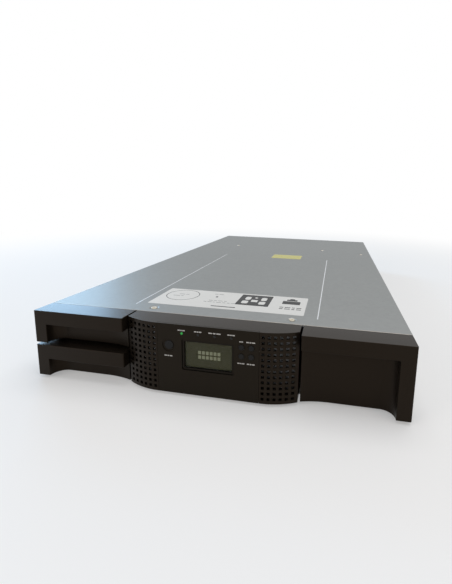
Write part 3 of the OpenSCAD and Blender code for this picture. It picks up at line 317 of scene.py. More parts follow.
NODE_FINISH: dict[str, Finish] = {
    "base_tray": CASE_STEEL, "left_side_panel": CASE_STEEL, "right_side_panel": CASE_STEEL,
    "top_cover": COVER_STEEL, "case_screws": ZINC, "rear_frame": CASE_STEEL,
    "left_magazine_rails": MAGAZINE_GREY, "right_magazine_rails": MAGAZINE_GREY,
    "front_crossmember": CASE_STEEL, "center_bezel": BLACK_MOULDING, "control_fascia": FASCIA_BLACK,
    "display_frame": FRAME_BLACK, "display_window": SCREEN_GLASS, "display_panel": SCREEN_GREEN,
    "control_board": BOARD_GREEN, "ready_light": GREEN_LENS, "status_lights": DARK_LENS,
    "power_button": KEY_RUBBER, "up_key": KEY_RUBBER, "down_key": KEY_RUBBER,
    "cancel_key": KEY_RUBBER, "select_key": KEY_RUBBER,
    "left_magazine_base": MAGAZINE_GREY, "left_magazine_dividers": MAGAZINE_GREY,
    "left_cartridges": CARTRIDGE_BLUE, "left_handle": BLACK_MOULDING,
    "mail_slot_tray": MAGAZINE_GREY, "mail_slot_handle": BLACK_MOULDING,
    "right_magazine_base": MAGAZINE_GREY, "right_magazine_dividers": MAGAZINE_GREY,
    "right_cartridges": CARTRIDGE_BLUE, "right_handle": BLACK_MOULDING,
    "left_lock_pawl": ZINC, "right_lock_pawl": ZINC, "lock_solenoids": MOTOR_BLACK,
    "guide_shaft": GROUND_STEEL, "gear_rack": GEAR_WHITE, "robot_base": CASTING,
    "shaft_bushes": BRONZE, "robot_motors": MOTOR_BLACK, "travel_pinion": GEAR_WHITE,
    "turn_pinion": GEAR_WHITE, "turntable": GEAR_WHITE, "lift_posts": CASE_STEEL,
    "lift_motor": MOTOR_BLACK, "lift_screw": GROUND_STEEL, "lift_platform": MAGAZINE_GREY,
    "barcode_reader": MOTOR_BLACK, "cartridge_picker": CASE_STEEL, "drive_sled": CASE_STEEL,
    "tape_drive": DRIVE_BLACK, "drive_fan_frame": FAN_BLACK, "drive_fan_rotor": FAN_BLACK,
    "drive_thumbscrews": SCREW_BLUE, "power_supply": CASE_STEEL, "psu_fan_rotor": FAN_BLACK,
    "power_inlet": FAN_BLACK, "psu_thumbscrews": SCREW_BLUE, "controller_card": BOARD_GREEN,
    "controller_ports": PORT_STEEL,
}


# ---------------------------------------------------------------- bench tools


class Bench:
    """Modelling operators, wrapped so that each starts from a clean selection."""

    front_y: float = 0.0
    body_of: dict[str, str] = {}
    slot_of: dict[str, str] = {}

    @classmethod
    def set_up(cls, frame: dict) -> None:
        """Reads the datum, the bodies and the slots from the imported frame."""
        cls.front_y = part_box("right_handle")[0].y
        record = frame["record"]
        for body, nodes in record["behaviour"]["bodies"].items():
            cls.body_of.update({node: body for node in nodes})
        cls.slot_of = {row["node"]: row["material_slot"] for row in record["subparts"]}

    @classmethod
    def at(cls, x: float, y: float, z: float) -> Vector:
        """A point in the row frame from millimetres measured from the handles' front."""
        return Vector((x * MM, y * MM + cls.front_y, z * MM))

    @staticmethod
    def pick(obj: bpy.types.Object) -> None:
        """Selects obj alone and makes it active."""
        if bpy.context.object and bpy.context.object.mode != "OBJECT":
            bpy.ops.object.mode_set(mode="OBJECT")
        bpy.ops.object.select_all(action="DESELECT")
        obj.select_set(True)
        bpy.context.view_layer.objects.active = obj

    @classmethod
    def settle(cls, obj: bpy.types.Object, name: str) -> bpy.types.Object:
        """Puts a new primitive's place into its mesh and names it."""
        cls.pick(obj)
        bpy.ops.object.transform_apply(location=True, rotation=True, scale=True)
        obj.name = name
        obj.data.name = name
        return obj

    @classmethod
    def block(cls, name: str, low: Point, high: Point, edge: float = 0.0,
              corner: float = 0.0) -> bpy.types.Object:
        """A box between two corners with rounded upright edges and softened rims.

        Args:
            name: The piece's name.
            low: Lowest corner in millimetres.
            high: Highest corner in millimetres.
            edge: Width of the bevel round all rims.
            corner: Radius of the four edges along Z.

        Returns:
            The new object.
        """
        a, b = cls.at(*low), cls.at(*high)
        bpy.ops.object.select_all(action="DESELECT")
        bpy.ops.mesh.primitive_cube_add(size=1, location=(a + b) / 2, scale=b - a)
        obj = cls.settle(bpy.context.object, name)
        if corner:
            cls.bevel_where(obj, corner, 4, lambda u, v: abs(u.z - v.z) > 1e-6)
        if edge:
            cls.soften(obj, edge)
        return obj

    @classmethod
    def rod(cls, name: str, centre: Point, radius: float, length: float, axis: str = "Y",
            sides: int = 48, edge: float = 0.0) -> bpy.types.Object:
        """A cylinder centred on a point along X, Y or Z, with softened rims."""
        turn = {"X": (0, math.pi / 2, 0), "Y": (math.pi / 2, 0, 0), "Z": (0, 0, 0)}[axis]
        bpy.ops.object.select_all(action="DESELECT")
        bpy.ops.mesh.primitive_cylinder_add(vertices=sides, radius=radius * MM, depth=length * MM,
                                            location=cls.at(*centre), rotation=turn)
        obj = cls.settle(bpy.context.object, name)
        if edge:
            cls.soften(obj, edge)
        return obj

    @classmethod
    def bevel_where(cls, obj: bpy.types.Object, width: float, segments: int,
                    test: Callable[[Vector, Vector], bool]) -> None:
        """Bevels the edges whose two ends pass the test, in edit mode."""
        cls.pick(obj)
        for item in (*obj.data.vertices, *obj.data.edges, *obj.data.polygons):
            item.select = False
        for e in obj.data.edges:
            u, v = (obj.data.vertices[i].co for i in e.vertices)
            e.select = test(u, v)
        bpy.ops.object.mode_set(mode="EDIT")
        bpy.ops.mesh.select_mode(type="EDGE")
        bpy.ops.mesh.bevel(offset=width * MM, segments=segments, affect="EDGES")
        bpy.ops.object.mode_set(mode="OBJECT")

    @classmethod
    def carve(cls, obj: bpy.types.Object, test: Callable[[bpy.types.MeshPolygon], bool],
              inset: float, move: Point) -> None:
        """Insets the faces that pass the test and extrudes them by move.

        Args:
            obj: The mesh to work on.
            test: Says which faces are carved.
            inset: Width of the rim that stays, in millimetres.
            move: How far the inset faces go, in millimetres.
        """
        cls.pick(obj)
        for item in (*obj.data.vertices, *obj.data.edges):
            item.select = False
        for face in obj.data.polygons:
            face.select = test(face)
        bpy.ops.object.mode_set(mode="EDIT")
        bpy.ops.mesh.select_mode(type="FACE")
        if inset:
            bpy.ops.mesh.inset(thickness=inset * MM, use_boundary=True)
        bpy.ops.mesh.extrude_region_move(
            TRANSFORM_OT_translate={"value": Vector(move) * MM})
        bpy.ops.object.mode_set(mode="OBJECT")

    @classmethod
    def modifier(cls, obj: bpy.types.Object, kind: str, **values: object) -> None:
        """Adds a modifier with the given values and applies it."""
        cls.pick(obj)
        mod = obj.modifiers.new(kind.lower(), kind)
        for key, value in values.items():
            setattr(mod, key, value)
        bpy.ops.object.modifier_apply(modifier=mod.name)

    @classmethod
    def soften(cls, obj: bpy.types.Object, width: float, segments: int = 2,
               angle: float = 32.0) -> bpy.types.Object:
        """Rounds every edge sharper than angle and smooths the shading."""
        cls.modifier(obj, "BEVEL", width=width * MM, segments=segments, limit_method="ANGLE",
                     angle_limit=math.radians(angle), use_clamp_overlap=True)
        bpy.ops.object.shade_smooth_by_angle(angle=math.radians(50))
        cls.modifier(obj, "WEIGHTED_NORMAL", keep_sharp=True)
        return obj

    @classmethod
    def cad_copy(cls, node: str, name: str) -> bpy.types.Object:
        """A free copy of a CAD node's mesh, merged and with its flat faces joined."""
        source = bpy.data.objects[NODE_OBJECT[node]]
        obj = bpy.data.objects.new(name, source.data.copy())
        obj.data.name = name
        obj.data.materials.clear()
        bpy.context.scene.collection.objects.link(obj)
        cls.pick(obj)
        bpy.ops.mesh.customdata_custom_splitnormals_clear()
        bpy.ops.object.mode_set(mode="EDIT")
        bpy.ops.mesh.select_all(action="SELECT")
        bpy.ops.mesh.remove_doubles(threshold=0.002 * MM)
        bpy.ops.mesh.dissolve_limited(angle_limit=math.radians(0.05))
        bpy.ops.object.mode_set(mode="OBJECT")
        return obj

    @classmethod
    def join(cls, parts: list[bpy.types.Object], name: str) -> bpy.types.Object:
        """Joins the parts into one object called name."""
        bpy.ops.object.select_all(action="DESELECT")
        for part in parts:
            part.select_set(True)
        bpy.context.view_layer.objects.active = parts[0]
        bpy.ops.object.join()
        parts[0].name = name
        parts[0].data.name = name
        return parts[0]

    @classmethod
    def copies(cls, obj: bpy.types.Object, moves: Iterable[Vector],
               name: str) -> bpy.types.Object:
        """Copies obj to each place, each copy with its own mesh, and joins them."""
        made = []
        for i, move in enumerate(moves):
            twin = bpy.data.objects.new(f"{name}_{i}", obj.data.copy())
            twin.data.transform(Matrix.Translation(move))
            bpy.context.scene.collection.objects.link(twin)
            made.append(twin)
        bpy.data.objects.remove(obj)
        return cls.join(made, name)

    @classmethod
    def cut(cls, obj: bpy.types.Object, tool: bpy.types.Object) -> None:
        """Cuts tool's shape out of obj and removes the tool."""
        cls.modifier(obj, "BOOLEAN", operation="DIFFERENCE", object=tool, solver="EXACT")
        bpy.data.objects.remove(tool)

    @classmethod
    def hand_in(cls, obj: bpy.types.Object, finish: Finish, like: str,
                replaced: Iterable[str] = ()) -> bpy.types.Object:
        """Dresses a finished piece and ties it to the body of a CAD node.

        Args:
            obj: The finished piece.
            finish: Its finish.
            like: The CAD node whose body it takes.
            replaced: CAD nodes that it stands for.

        Returns:
            The same piece.
        """
        obj.data.materials.clear()
        obj.data.materials.append(finish.material())
        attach(obj, cls.body_of[like])
        if replaced:
            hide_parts(*replaced)
        LOG.info("%s: %d faces, on %s", obj.name, len(obj.data.polygons), cls.body_of[like])
        return obj


NODE_OBJECT: dict[str, str] = {}


# ---------------------------------------------------------------- case


@dataclass
class CaseShell:
    """Sheet-metal case: cover, side panels, tray, screws, the labels on the cover, and painted
    highlights along the beads and the front fold.
    """

    sheet_edge: float = 0.35
    skin_drop: float = 0.12
    label_low: tuple[float, float] = (-107.5, 60.0)
    label_high: tuple[float, float] = (101.5, 132.0)
    label_corner: float = 2.0
    label_t: float = 0.06
    print_t: float = 0.025
    bead_x: float = 119.0
    bead_w: float = 1.3
    bead_y: tuple[float, float] = (48.0, 434.0)
    ring_centre: tuple[float, float] = (-77.0, 104.5)
    ring_r: float = 23.6
    ring_w: float = 1.0
    yellow_centre: tuple[float, float] = (25.0, 445.0)
    yellow_size: tuple[float, float] = (68.0, 45.0)
    screw_head_r: float = 3.5
    screw_head_h: float = 1.1

    def build(self) -> None:
        """Makes all pieces of the case."""
        self.cover()
        for node in ("left_side_panel", "right_side_panel", "base_tray", "rear_frame",
                     "front_crossmember"):
            skin = Bench.soften(Bench.cad_copy(node, f"{node}_skin"), 0.25)
            Bench.hand_in(skin, CASE_STEEL, node, [node])
        self.screws()
        self.white_label()
        self.yellow_label()
        self.beads()

    @property
    def roof(self) -> float:
        """Height of the cover's visible face."""
        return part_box("top_cover")[1].z / MM - self.skin_drop

    def cover(self) -> None:
        """The cover, a little lower than the CAD's so that the labels stay inside its box."""
        skin = Bench.cad_copy("top_cover", "cover_skin")
        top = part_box("top_cover")[1].z
        for v in skin.data.vertices:
            if v.co.z > top - 1e-5:
                v.co.z = self.roof * MM
        Bench.soften(skin, self.sheet_edge, 3)
        Bench.hand_in(skin, COVER_STEEL, "top_cover", ["top_cover"])

    def plate(self, name: str, centre: tuple[float, float], size: tuple[float, float],
              level: float, thick: float, corner: float) -> bpy.types.Object:
        """A thin flat plate on the cover with rounded corners."""
        (cx, cy), (w, d) = centre, size
        z = self.roof + level
        return Bench.block(name, (cx - w / 2, cy - d / 2, z), (cx + w / 2, cy + d / 2, z + thick),
                           0.0, corner)

    def white_label(self) -> None:
        """The wide white label with generic marks only."""
        (x0, y0), (x1, y1) = self.label_low, self.label_high
        label = self.plate("cover_label", ((x0 + x1) / 2, (y0 + y1) / 2), (x1 - x0, y1 - y0),
                           -0.02, self.label_t + 0.02, self.label_corner)
        Bench.hand_in(label, LABEL_WHITE, "top_cover")
        level = self.label_t - 0.01
        thick = self.print_t + 0.01
        black: list[bpy.types.Object] = [self.ring(level, thick)]
        black.append(self.plate("mark", (29.0, 105.0), (45.5, 45.5), level, thick, 1.0))
        black.append(self.plate("mark", (80.2, 106.0), (24.4, 13.0), level, thick, 1.0))
        black.append(self.plate("mark", (80.2, 117.0), (15.0, 6.0), level, thick, 2.0))
        black.append(self.plate("mark", (80.2, 121.5), (7.0, 4.0), level, thick, 1.5))
        black.append(self.plate("mark", (-27.0, 107.0), (3.2, 4.6), level, thick, 1.3))
        black.append(self.plate("mark", (-5.5, 69.0), (33.0, 2.6), level, thick, 0.5))
        for row in range(2):
            for i, w in enumerate((5.0, 7.5, 4.0, 6.5)):
                x = 67.0 + sum((5.0, 7.5, 4.0, 6.5)[:i]) + 2.0 * i
                black.append(self.plate("mark", (x + w / 2, 86.0 - 6.0 * row), (w, 2.4),
                                        level, thick, 0.6))
        Bench.hand_in(Bench.join(black, "cover_label_marks"), LABEL_BLACK, "top_cover")
        self.grey_marks(level, thick)
        self.square_marks(level + thick - 0.005, 0.022)

    def ring(self, level: float, thick: float) -> bpy.types.Object:
        """The thin ring at the label's left end."""
        cx, cy = self.ring_centre
        z = self.roof + level + thick / 2
        outer = Bench.rod("mark", (cx, cy, z), self.ring_r, thick, "Z", 96)
        inner = Bench.rod("mark", (cx, cy, z), self.ring_r - self.ring_w, thick * 4, "Z", 96)
        Bench.cut(outer, inner)
        return outer

    def grey_marks(self, level: float, thick: float) -> None:
        """Rows of short grey bars where a label carries its small print."""
        rows = [(-38.0, 84.0, (4, 6, 3, 7, 5, 4, 6)), (-33.0, 90.5, (6, 4, 7, 4)),
                (-34.0, 119.0, (5, 7)), (-90.0, 100.0, (10, 4)), (-84.0, 108.0, (8, 5))]
        bars = []
        for x, y, widths in rows:
            for w in widths:
                bars.append(self.plate("mark", (x + w / 2, y), (w, 1.7), level, thick, 0.4))
                x += w + 1.6
        Bench.hand_in(Bench.join(bars, "cover_label_rows"), LABEL_GREY, "top_cover")

    def square_marks(self, level: float, thick: float) -> None:
        """Light blocks and discs inside the label's dark square."""
        spots = [((18.0, 112.0), (8.0, 14.0), 3.5), ((17.0, 95.0), (9.0, 12.0), 3.0),
                 ((29.0, 102.0), (9.0, 9.0), 0.8), ((41.0, 112.0), (8.0, 14.0), 3.5),
                 ((41.0, 95.0), (9.0, 12.0), 3.0), ((29.0, 116.0), (4.0, 5.0), 1.8)]
        parts = [self.plate("mark", c, s, level, thick, r) for c, s, r in spots]
        Bench.hand_in(Bench.join(parts, "cover_label_figures"), LABEL_WHITE, "top_cover")

    def yellow_label(self) -> None:
        """The plain yellow label behind the middle of the cover."""
        label = self.plate("yellow_label", self.yellow_centre, self.yellow_size, -0.02,
                           self.label_t + 0.02, 3.0)
        Bench.hand_in(label, LABEL_YELLOW, "top_cover")

    def beads(self) -> None:
        """Painted highlights: light lines along the two long pressed beads, and a light tan strip
        along the cover's folded front edge.
        """
        y0, y1 = self.bead_y
        # Thin light strips that paint the highlights of the two beads.
        lines = [self.plate("bead", (x, (y0 + y1) / 2), (self.bead_w, y1 - y0), -0.2, 0.19, 0.5)
                 for x in (-self.bead_x, self.bead_x)]
        Bench.hand_in(Bench.join(lines, "cover_bead_highlights"), BEAD_PAINTED_HIGHLIGHT, "top_cover")
        # A light tan strip that paints the highlight along the cover's folded front edge.
        low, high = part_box("top_cover")
        front = (low.y - Bench.front_y) / MM
        fold = Bench.block("cover_front_fold_highlight", (low.x / MM + 0.6, front + 0.05, self.roof - 0.9),
                           (high.x / MM - 0.6, front + 0.75, self.roof + 0.05), 0.2)
        Bench.hand_in(fold, FOLD_PAINTED_HIGHLIGHT, "top_cover")

    def screws(self) -> None:
        """Pan-head screws with a cross recess, and the controller's two thumb nuts."""
        node_low, node_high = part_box("case_screws")
        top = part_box("top_cover")[1].z / MM
        head_z = top - 1.4
        rear = node_high.y / MM - Bench.front_y / MM
        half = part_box("top_cover")[1].x / MM
        rear_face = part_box("rear_frame")[1].y / MM - Bench.front_y / MM
        spots = [(-89.0, 45.0), (89.0, 45.0), (-132.0, rear_face - 192.0),
                 (103.0, rear_face - 204.0), (half - 22.5, rear_face - 238.0)]
        head = Bench.rod("head", (0, 0, head_z + self.screw_head_h / 2), self.screw_head_r,
                         self.screw_head_h, "Z", 40)
        for size in ((4.2, 0.9), (0.9, 4.2)):
            Bench.cut(head, Bench.block("slot", (-size[0] / 2, -size[1] / 2, head_z + 0.25),
                                        (size[0] / 2, size[1] / 2, head_z + 3)))
        Bench.soften(head, 0.22, 3)
        shank = Bench.rod("shank", (0, 0, head_z - 2.0), 1.5, 4.0, "Z", 24)
        screw = Bench.join([head, shank], "screw")
        moves = [Bench.at(x, y, 0) - Bench.at(0, 0, 0) for x, y in spots]
        heads = Bench.copies(screw, moves, "cover_screws")
        parts = [heads]
        for x in (-50, 50):
            for z in (34, 79):
                parts.append(Bench.rod("standoff", (x, 20.8, z), 3.0, 18.4, "Y", 24, 0.2))
        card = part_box("controller_card")
        z = node_low.z / MM
        for x in (card[0].x / MM + 5, card[1].x / MM - 5):
            parts.append(knurled("nut", (x, rear - 2.5, 33.0), 3.0, 5.0))
        Bench.hand_in(Bench.join(parts, "cover_screws"), ZINC, "case_screws", ["case_screws"])
        LOG.debug("screw shanks reach down to %.1f", z)


def knurled(name: str, centre: Point, radius: float, length: float) -> bpy.types.Object:
    """A knurled knob along Y: a cylinder whose alternate side faces are drawn in."""
    knob = Bench.rod(name, centre, radius, length, "Y", 36)
    sides = [f.index for f in knob.data.polygons if abs(f.normal.y) < 0.5]
    chosen = set(sides[::2])
    axis = Bench.at(*centre)
    Bench.pick(knob)
    for item in (*knob.data.vertices, *knob.data.edges):
        item.select = False
    for face in knob.data.polygons:
        face.select = face.index in chosen
    bpy.ops.object.mode_set(mode="EDIT")
    bpy.ops.mesh.select_mode(type="FACE")
    bpy.ops.mesh.inset(thickness=0.07 * MM, use_individual=True)
    bpy.ops.transform.shrink_fatten(value=-0.22 * MM)
    bpy.ops.object.mode_set(mode="OBJECT")
    LOG.debug("%s turns about %s", name, axis)
    return Bench.soften(knob, 0.12)


# ---------------------------------------------------------------- bezel and controls


@dataclass
class FrontPanel:
    """Centre bezel with its grilles, fascia, display, lights, keys and printed marks."""

    fascia_y: float = -1.5
    print_t: float = 0.05
    display_x: float = 0.5
    display_z: float = 51.4
    display_w: float = 56.4
    display_h: float = 31.7
    key_x: tuple[float, float] = (39.8, 51.1)
    key_z: tuple[float, float] = (67.5, 57.0)
    power: tuple[float, float] = (-45.8, 61.5)
    lights_x: tuple[float, ...] = (-30.0, -10.6, 8.8, 28.2)
    mark_z: float = 80.4

    def build(self) -> None:
        """Makes all pieces of the front panel."""
        for node, name, finish, width in (
                ("center_bezel", "bezel_shell", BLACK_MOULDING, 0.22),
                ("control_fascia", "fascia_plate", FASCIA_BLACK, 0.25),
                ("display_frame", "display_surround", FRAME_BLACK, 0.3),
                ("control_board", "control_board_body", BOARD_GREEN, 0.1)):
            piece = Bench.soften(Bench.cad_copy(node, name), width)
            Bench.hand_in(piece, finish, node, [node])
        for node in ("up_key", "down_key", "cancel_key", "select_key", "power_button"):
            cap = Bench.soften(Bench.cad_copy(node, f"{node}_cap"), 0.35, 3)
            Bench.hand_in(cap, KEY_RUBBER, node, [node])
        for node, finish in (("ready_light", GREEN_LENS), ("status_lights", DARK_LENS)):
            lens = Bench.soften(Bench.cad_copy(node, f"{node}_lens"), 0.2, 3)
            Bench.hand_in(lens, finish, node, [node])
        self.printed_marks()
        self.screen_marks()

    def mark(self, x0: float, x1: float, z0: float, z1: float, corner: float = 0.2,
             y: float | None = None) -> bpy.types.Object:
        """A thin printed bar on the fascia, rounded across X and Z."""
        face = self.fascia_y if y is None else y
        bar = Bench.block("mark", (x0, face - self.print_t, z0), (x1, face + 0.02, z1))
        Bench.bevel_where(bar, corner, 3, lambda u, v: abs(u.y - v.y) > 1e-6)
        return bar

    def words(self, x0: float, x1: float, z: float, height: float = 1.3) -> list[bpy.types.Object]:
        """A row of short bars where a caption would stand."""
        lengths = (0.30, 0.22, 0.34)
        gap = 0.07 * (x1 - x0)
        x, bars = x0, []
        for part in lengths:
            w = part * (x1 - x0)
            bars.append(self.mark(x, x + w, z - height / 2, z + height / 2))
            x += w + gap
        return bars

    def printed_marks(self) -> None:
        """White captions as plain bars, with no letters."""
        parts: list[bpy.types.Object] = []
        for x0, x1 in ((-34.6, -26.0), (-15.0, -6.4), (1.8, 16.0), (23.8, 32.3)):
            parts += self.words(x0, x1, self.mark_z)
        parts += self.words(-51.4, -41.8, 48.6)
        parts += self.words(37.4, 41.6, 74.0)
        parts += self.words(45.2, 55.2, 74.0)
        parts += self.words(35.4, 43.4, 48.6)
        parts += self.words(46.2, 55.0, 48.6)
        Bench.hand_in(Bench.join(parts, "fascia_captions"), WHITE_PRINT, "control_fascia")

    def screen_marks(self) -> None:
        """Slot squares shown on the display: plain blocks, no words."""
        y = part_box("display_panel")[0].y / MM - Bench.front_y / MM
        parts = []
        for row in range(2):
            for i in range(6):
                x = self.display_x - 12.6 + i * 4.6
                z = self.display_z + 0.8 - 5.6 * row
                parts.append(self.mark(x, x + 3.4, z, z + 4.0, 0.4, y))
        Bench.hand_in(Bench.join(parts, "screen_slots"), SCREEN_MARK, "display_panel")


# ---------------------------------------------------------------- magazines


@dataclass
class Magazines:
    """Handles, magazine frames and the tape cartridges in their slots."""

    cart_x: float = 102.0
    cart_y: float = 105.4
    cart_z: float = 21.5
    seam: float = 0.35
    label_recess: float = 0.5

    def build(self) -> None:
        """Makes handles, frames and cartridges."""
        for node in ("right_handle", "left_handle", "mail_slot_handle"):
            shell = Bench.soften(Bench.cad_copy(node, f"{node}_shell"), 0.5, 3)
            Bench.hand_in(shell, BLACK_MOULDING, node, [node])
        for node in ("left_magazine_base", "right_magazine_base", "left_magazine_dividers",
                     "right_magazine_dividers", "mail_slot_tray"):
            part = Bench.soften(Bench.cad_copy(node, f"{node}_moulding"), 0.25)
            Bench.hand_in(part, MAGAZINE_GREY, node, [node])
        for side, node in ((-1, "left_cartridges"), (1, "right_cartridges")):
            self.cartridges(side, node)

    def slots(self, side: int, node: str) -> list[tuple[float, float, float]]:
        """Lowest corner of each cartridge in a magazine, read from the CAD node's box."""
        low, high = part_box(node)
        x0 = (low.x if side < 0 else high.x - self.cart_x * MM) / MM
        y_first = low.y / MM - Bench.front_y / MM
        y_last = high.y / MM - Bench.front_y / MM - self.cart_y
        pitch = (y_last - y_first) / 3
        rise = (high.z / MM - self.cart_z - low.z / MM) / 2
        spots = []
        for col in range(4):
            for row in range(3):
                if not (side < 0 and col == 0 and row == 2):
                    spots.append((x0, y_first + col * pitch, low.z / MM + row * rise))
        return spots

    def cartridges(self, side: int, node: str) -> None:
        """One detailed cartridge, copied to every filled slot of a magazine."""
        moves = [Bench.at(*spot) - Bench.at(0, 0, 0) for spot in self.slots(side, node)]
        shells = Bench.copies(self.cartridge(side), moves, f"{node}_shells")
        Bench.hand_in(shells, CARTRIDGE_BLUE, node, [node])
        labels = Bench.copies(self.label(side), moves, f"{node}_labels")
        Bench.hand_in(labels, CARTRIDGE_LABEL, node)
        tabs = Bench.copies(self.tab(side), moves, f"{node}_tabs")
        Bench.hand_in(tabs, TAB_RED, node)

    def cartridge(self, side: int) -> bpy.types.Object:
        """Two half shells round a core, lowest corner at the datum.

        Args:
            side: -1 for the left magazine, whose aisle face looks to +X, or 1.

        Returns:
            The joined cartridge.
        """
        cx, cy, cz = self.cart_x, self.cart_y, self.cart_z
        split = self.seam / 2
        lower = Bench.block("lower", (0, 0, 0), (cx, cy, cz / 2 - split), 0.0, 2.0)
        upper = Bench.block("upper", (0, 0, cz / 2 + split), (cx, cy, cz), 0.0, 2.0)
        core = Bench.block("core", (0.4, 0.4, 1.0), (cx - 0.4, cy - 0.4, cz - 1.0), 0.0, 1.8)
        Bench.cut(upper, Bench.block("panel", (8, 8, cz - 0.45), (cx - 8, cy - 8, cz + 2), 0.0, 3.0))
        x0, x1 = self.aisle_band(side, self.label_recess)
        Bench.cut(upper, Bench.block("recess", (x0, 14, cz / 2 + 2), (x1, cy - 14, cz - 2.6)))
        Bench.cut(lower, Bench.block("recess", (x0, cy - 24, 2.4), (x1, cy - 12, cz / 2 - 2)))
        for half, z0, z1 in ((lower, 1.8, cz / 2 - 1.6), (upper, cz / 2 + 1.6, cz - 1.8)):
            Bench.cut(half, self.comb(side, z0, z1))
            Bench.soften(half, 0.25)
        return Bench.join([lower, upper, core], "cartridge")

    def aisle_band(self, side: int, depth: float) -> tuple[float, float]:
        """X range of a cutter that goes depth deep into the aisle face."""
        return (self.cart_x - depth, self.cart_x + 2) if side < 0 else (-2, depth)

    def comb(self, side: int, z0: float, z1: float) -> bpy.types.Object:
        """Cutter for the finger ribs on both flanks, near the end away from the aisle."""
        first = 10.0 if side < 0 else self.cart_x - 10.0 - 7 * 2.6
        bars = []
        for i in range(8):
            x = first + 2.6 * i
            for y in (-1.0, self.cart_y - 0.5):
                bars.append(Bench.block("groove", (x, y, z0), (x + 1.2, y + 1.5, z1)))
        return Bench.join(bars, "comb")

    def label(self, side: int) -> bpy.types.Object:
        """The blank label in the recess of a cartridge's aisle face."""
        x0, x1 = self.aisle_band(side, self.label_recess)
        inner = x0 if side < 0 else x1
        out = 0.12 if side < 0 else -0.12
        low, high = sorted((inner, inner + out))
        return Bench.block("label", (low, 15.0, self.cart_z / 2 + 3.0),
                           (high, self.cart_y - 15.0, self.cart_z - 3.4), 0.03)

    def tab(self, side: int) -> bpy.types.Object:
        """The small write-protect slider under the label."""
        x0, x1 = self.aisle_band(side, self.label_recess)
        low, high = (x0 - 0.1, x0 + 0.35) if side < 0 else (x1 - 0.35, x1 + 0.1)
        return Bench.block("tab", (low, self.cart_y - 20.0, 3.2),
                           (high, self.cart_y - 13.0, self.cart_z / 2 - 2.8), 0.1)


# ---------------------------------------------------------------- robot


@dataclass
class Robot:
    """The cartridge robot and the parts it runs on."""

    edges: dict[str, float] = field(default_factory=lambda: {
        "guide_shaft": 0.3, "gear_rack": 0.12, "robot_base": 0.3, "shaft_bushes": 0.3,
        "robot_motors": 0.8, "travel_pinion": 0.12, "turn_pinion": 0.12, "turntable": 0.12,
        "lift_posts": 0.4, "lift_motor": 0.8, "lift_screw": 0.2, "lift_platform": 0.3,
        "barcode_reader": 0.5, "cartridge_picker": 0.25, "left_lock_pawl": 0.2,
        "right_lock_pawl": 0.2, "lock_solenoids": 0.3, "left_magazine_rails": 0.3,
        "right_magazine_rails": 0.3})

    def build(self) -> None:
        """Softens each of the robot's CAD pieces and dresses it."""
        for node, width in self.edges.items():
            piece = Bench.soften(Bench.cad_copy(node, f"{node}_body"), width)
            Bench.hand_in(piece, NODE_FINISH[node], node, [node])


# ---------------------------------------------------------------- rear


@dataclass
class RearModules:
    """Drive sled, power supply and controller at the back."""

    edges: dict[str, float] = field(default_factory=lambda: {
        "drive_sled": 0.25, "tape_drive": 0.6, "drive_fan_frame": 0.3, "drive_fan_rotor": 0.15,
        "power_supply": 0.25, "psu_fan_rotor": 0.15, "power_inlet": 0.25,
        "controller_card": 0.15, "controller_ports": 0.15})

    def build(self) -> None:
        """Softens the modules, and makes thumbscrews."""
        for node, width in self.edges.items():
            piece = Bench.soften(Bench.cad_copy(node, f"{node}_body"), width)
            Bench.hand_in(piece, NODE_FINISH[node], node, [node])
            if node == "controller_card":
                self.steel_panel(piece)
        for node in ("drive_thumbscrews", "psu_thumbscrews"):
            self.thumbscrews(node)

    def thumbscrews(self, node: str) -> None:
        """Two knurled knobs on their shoulders."""
        low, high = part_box(node)
        z = (low.z + high.z) / 2 / MM
        y1 = (high.y - Bench.front_y) / MM
        y0 = (low.y - Bench.front_y) / MM
        radius = (high.z - low.z) / 2 / MM
        parts = []
        for x in (low.x / MM + radius, high.x / MM - radius):
            parts.append(knurled("knob", (x, (y0 + 1 + y1) / 2, z), radius, y1 - y0 - 1))
            parts.append(Bench.rod("shoulder", (x, y0 + 0.55, z), 2.4, 1.1, "Y", 32, 0.1))
        Bench.hand_in(Bench.join(parts, f"{node}_knobs"), SCREW_BLUE, node, [node])

    def steel_panel(self, card: bpy.types.Object) -> None:
        """Gives the card's rear panel steel faces; the board behind it stays green."""
        card.data.materials.append(CASE_STEEL.material())
        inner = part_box("controller_card")[1].y - 1.8 * MM
        for face in card.data.polygons:
            if face.center.y > inner:
                face.material_index = 1


# ---------------------------------------------------------------- studio


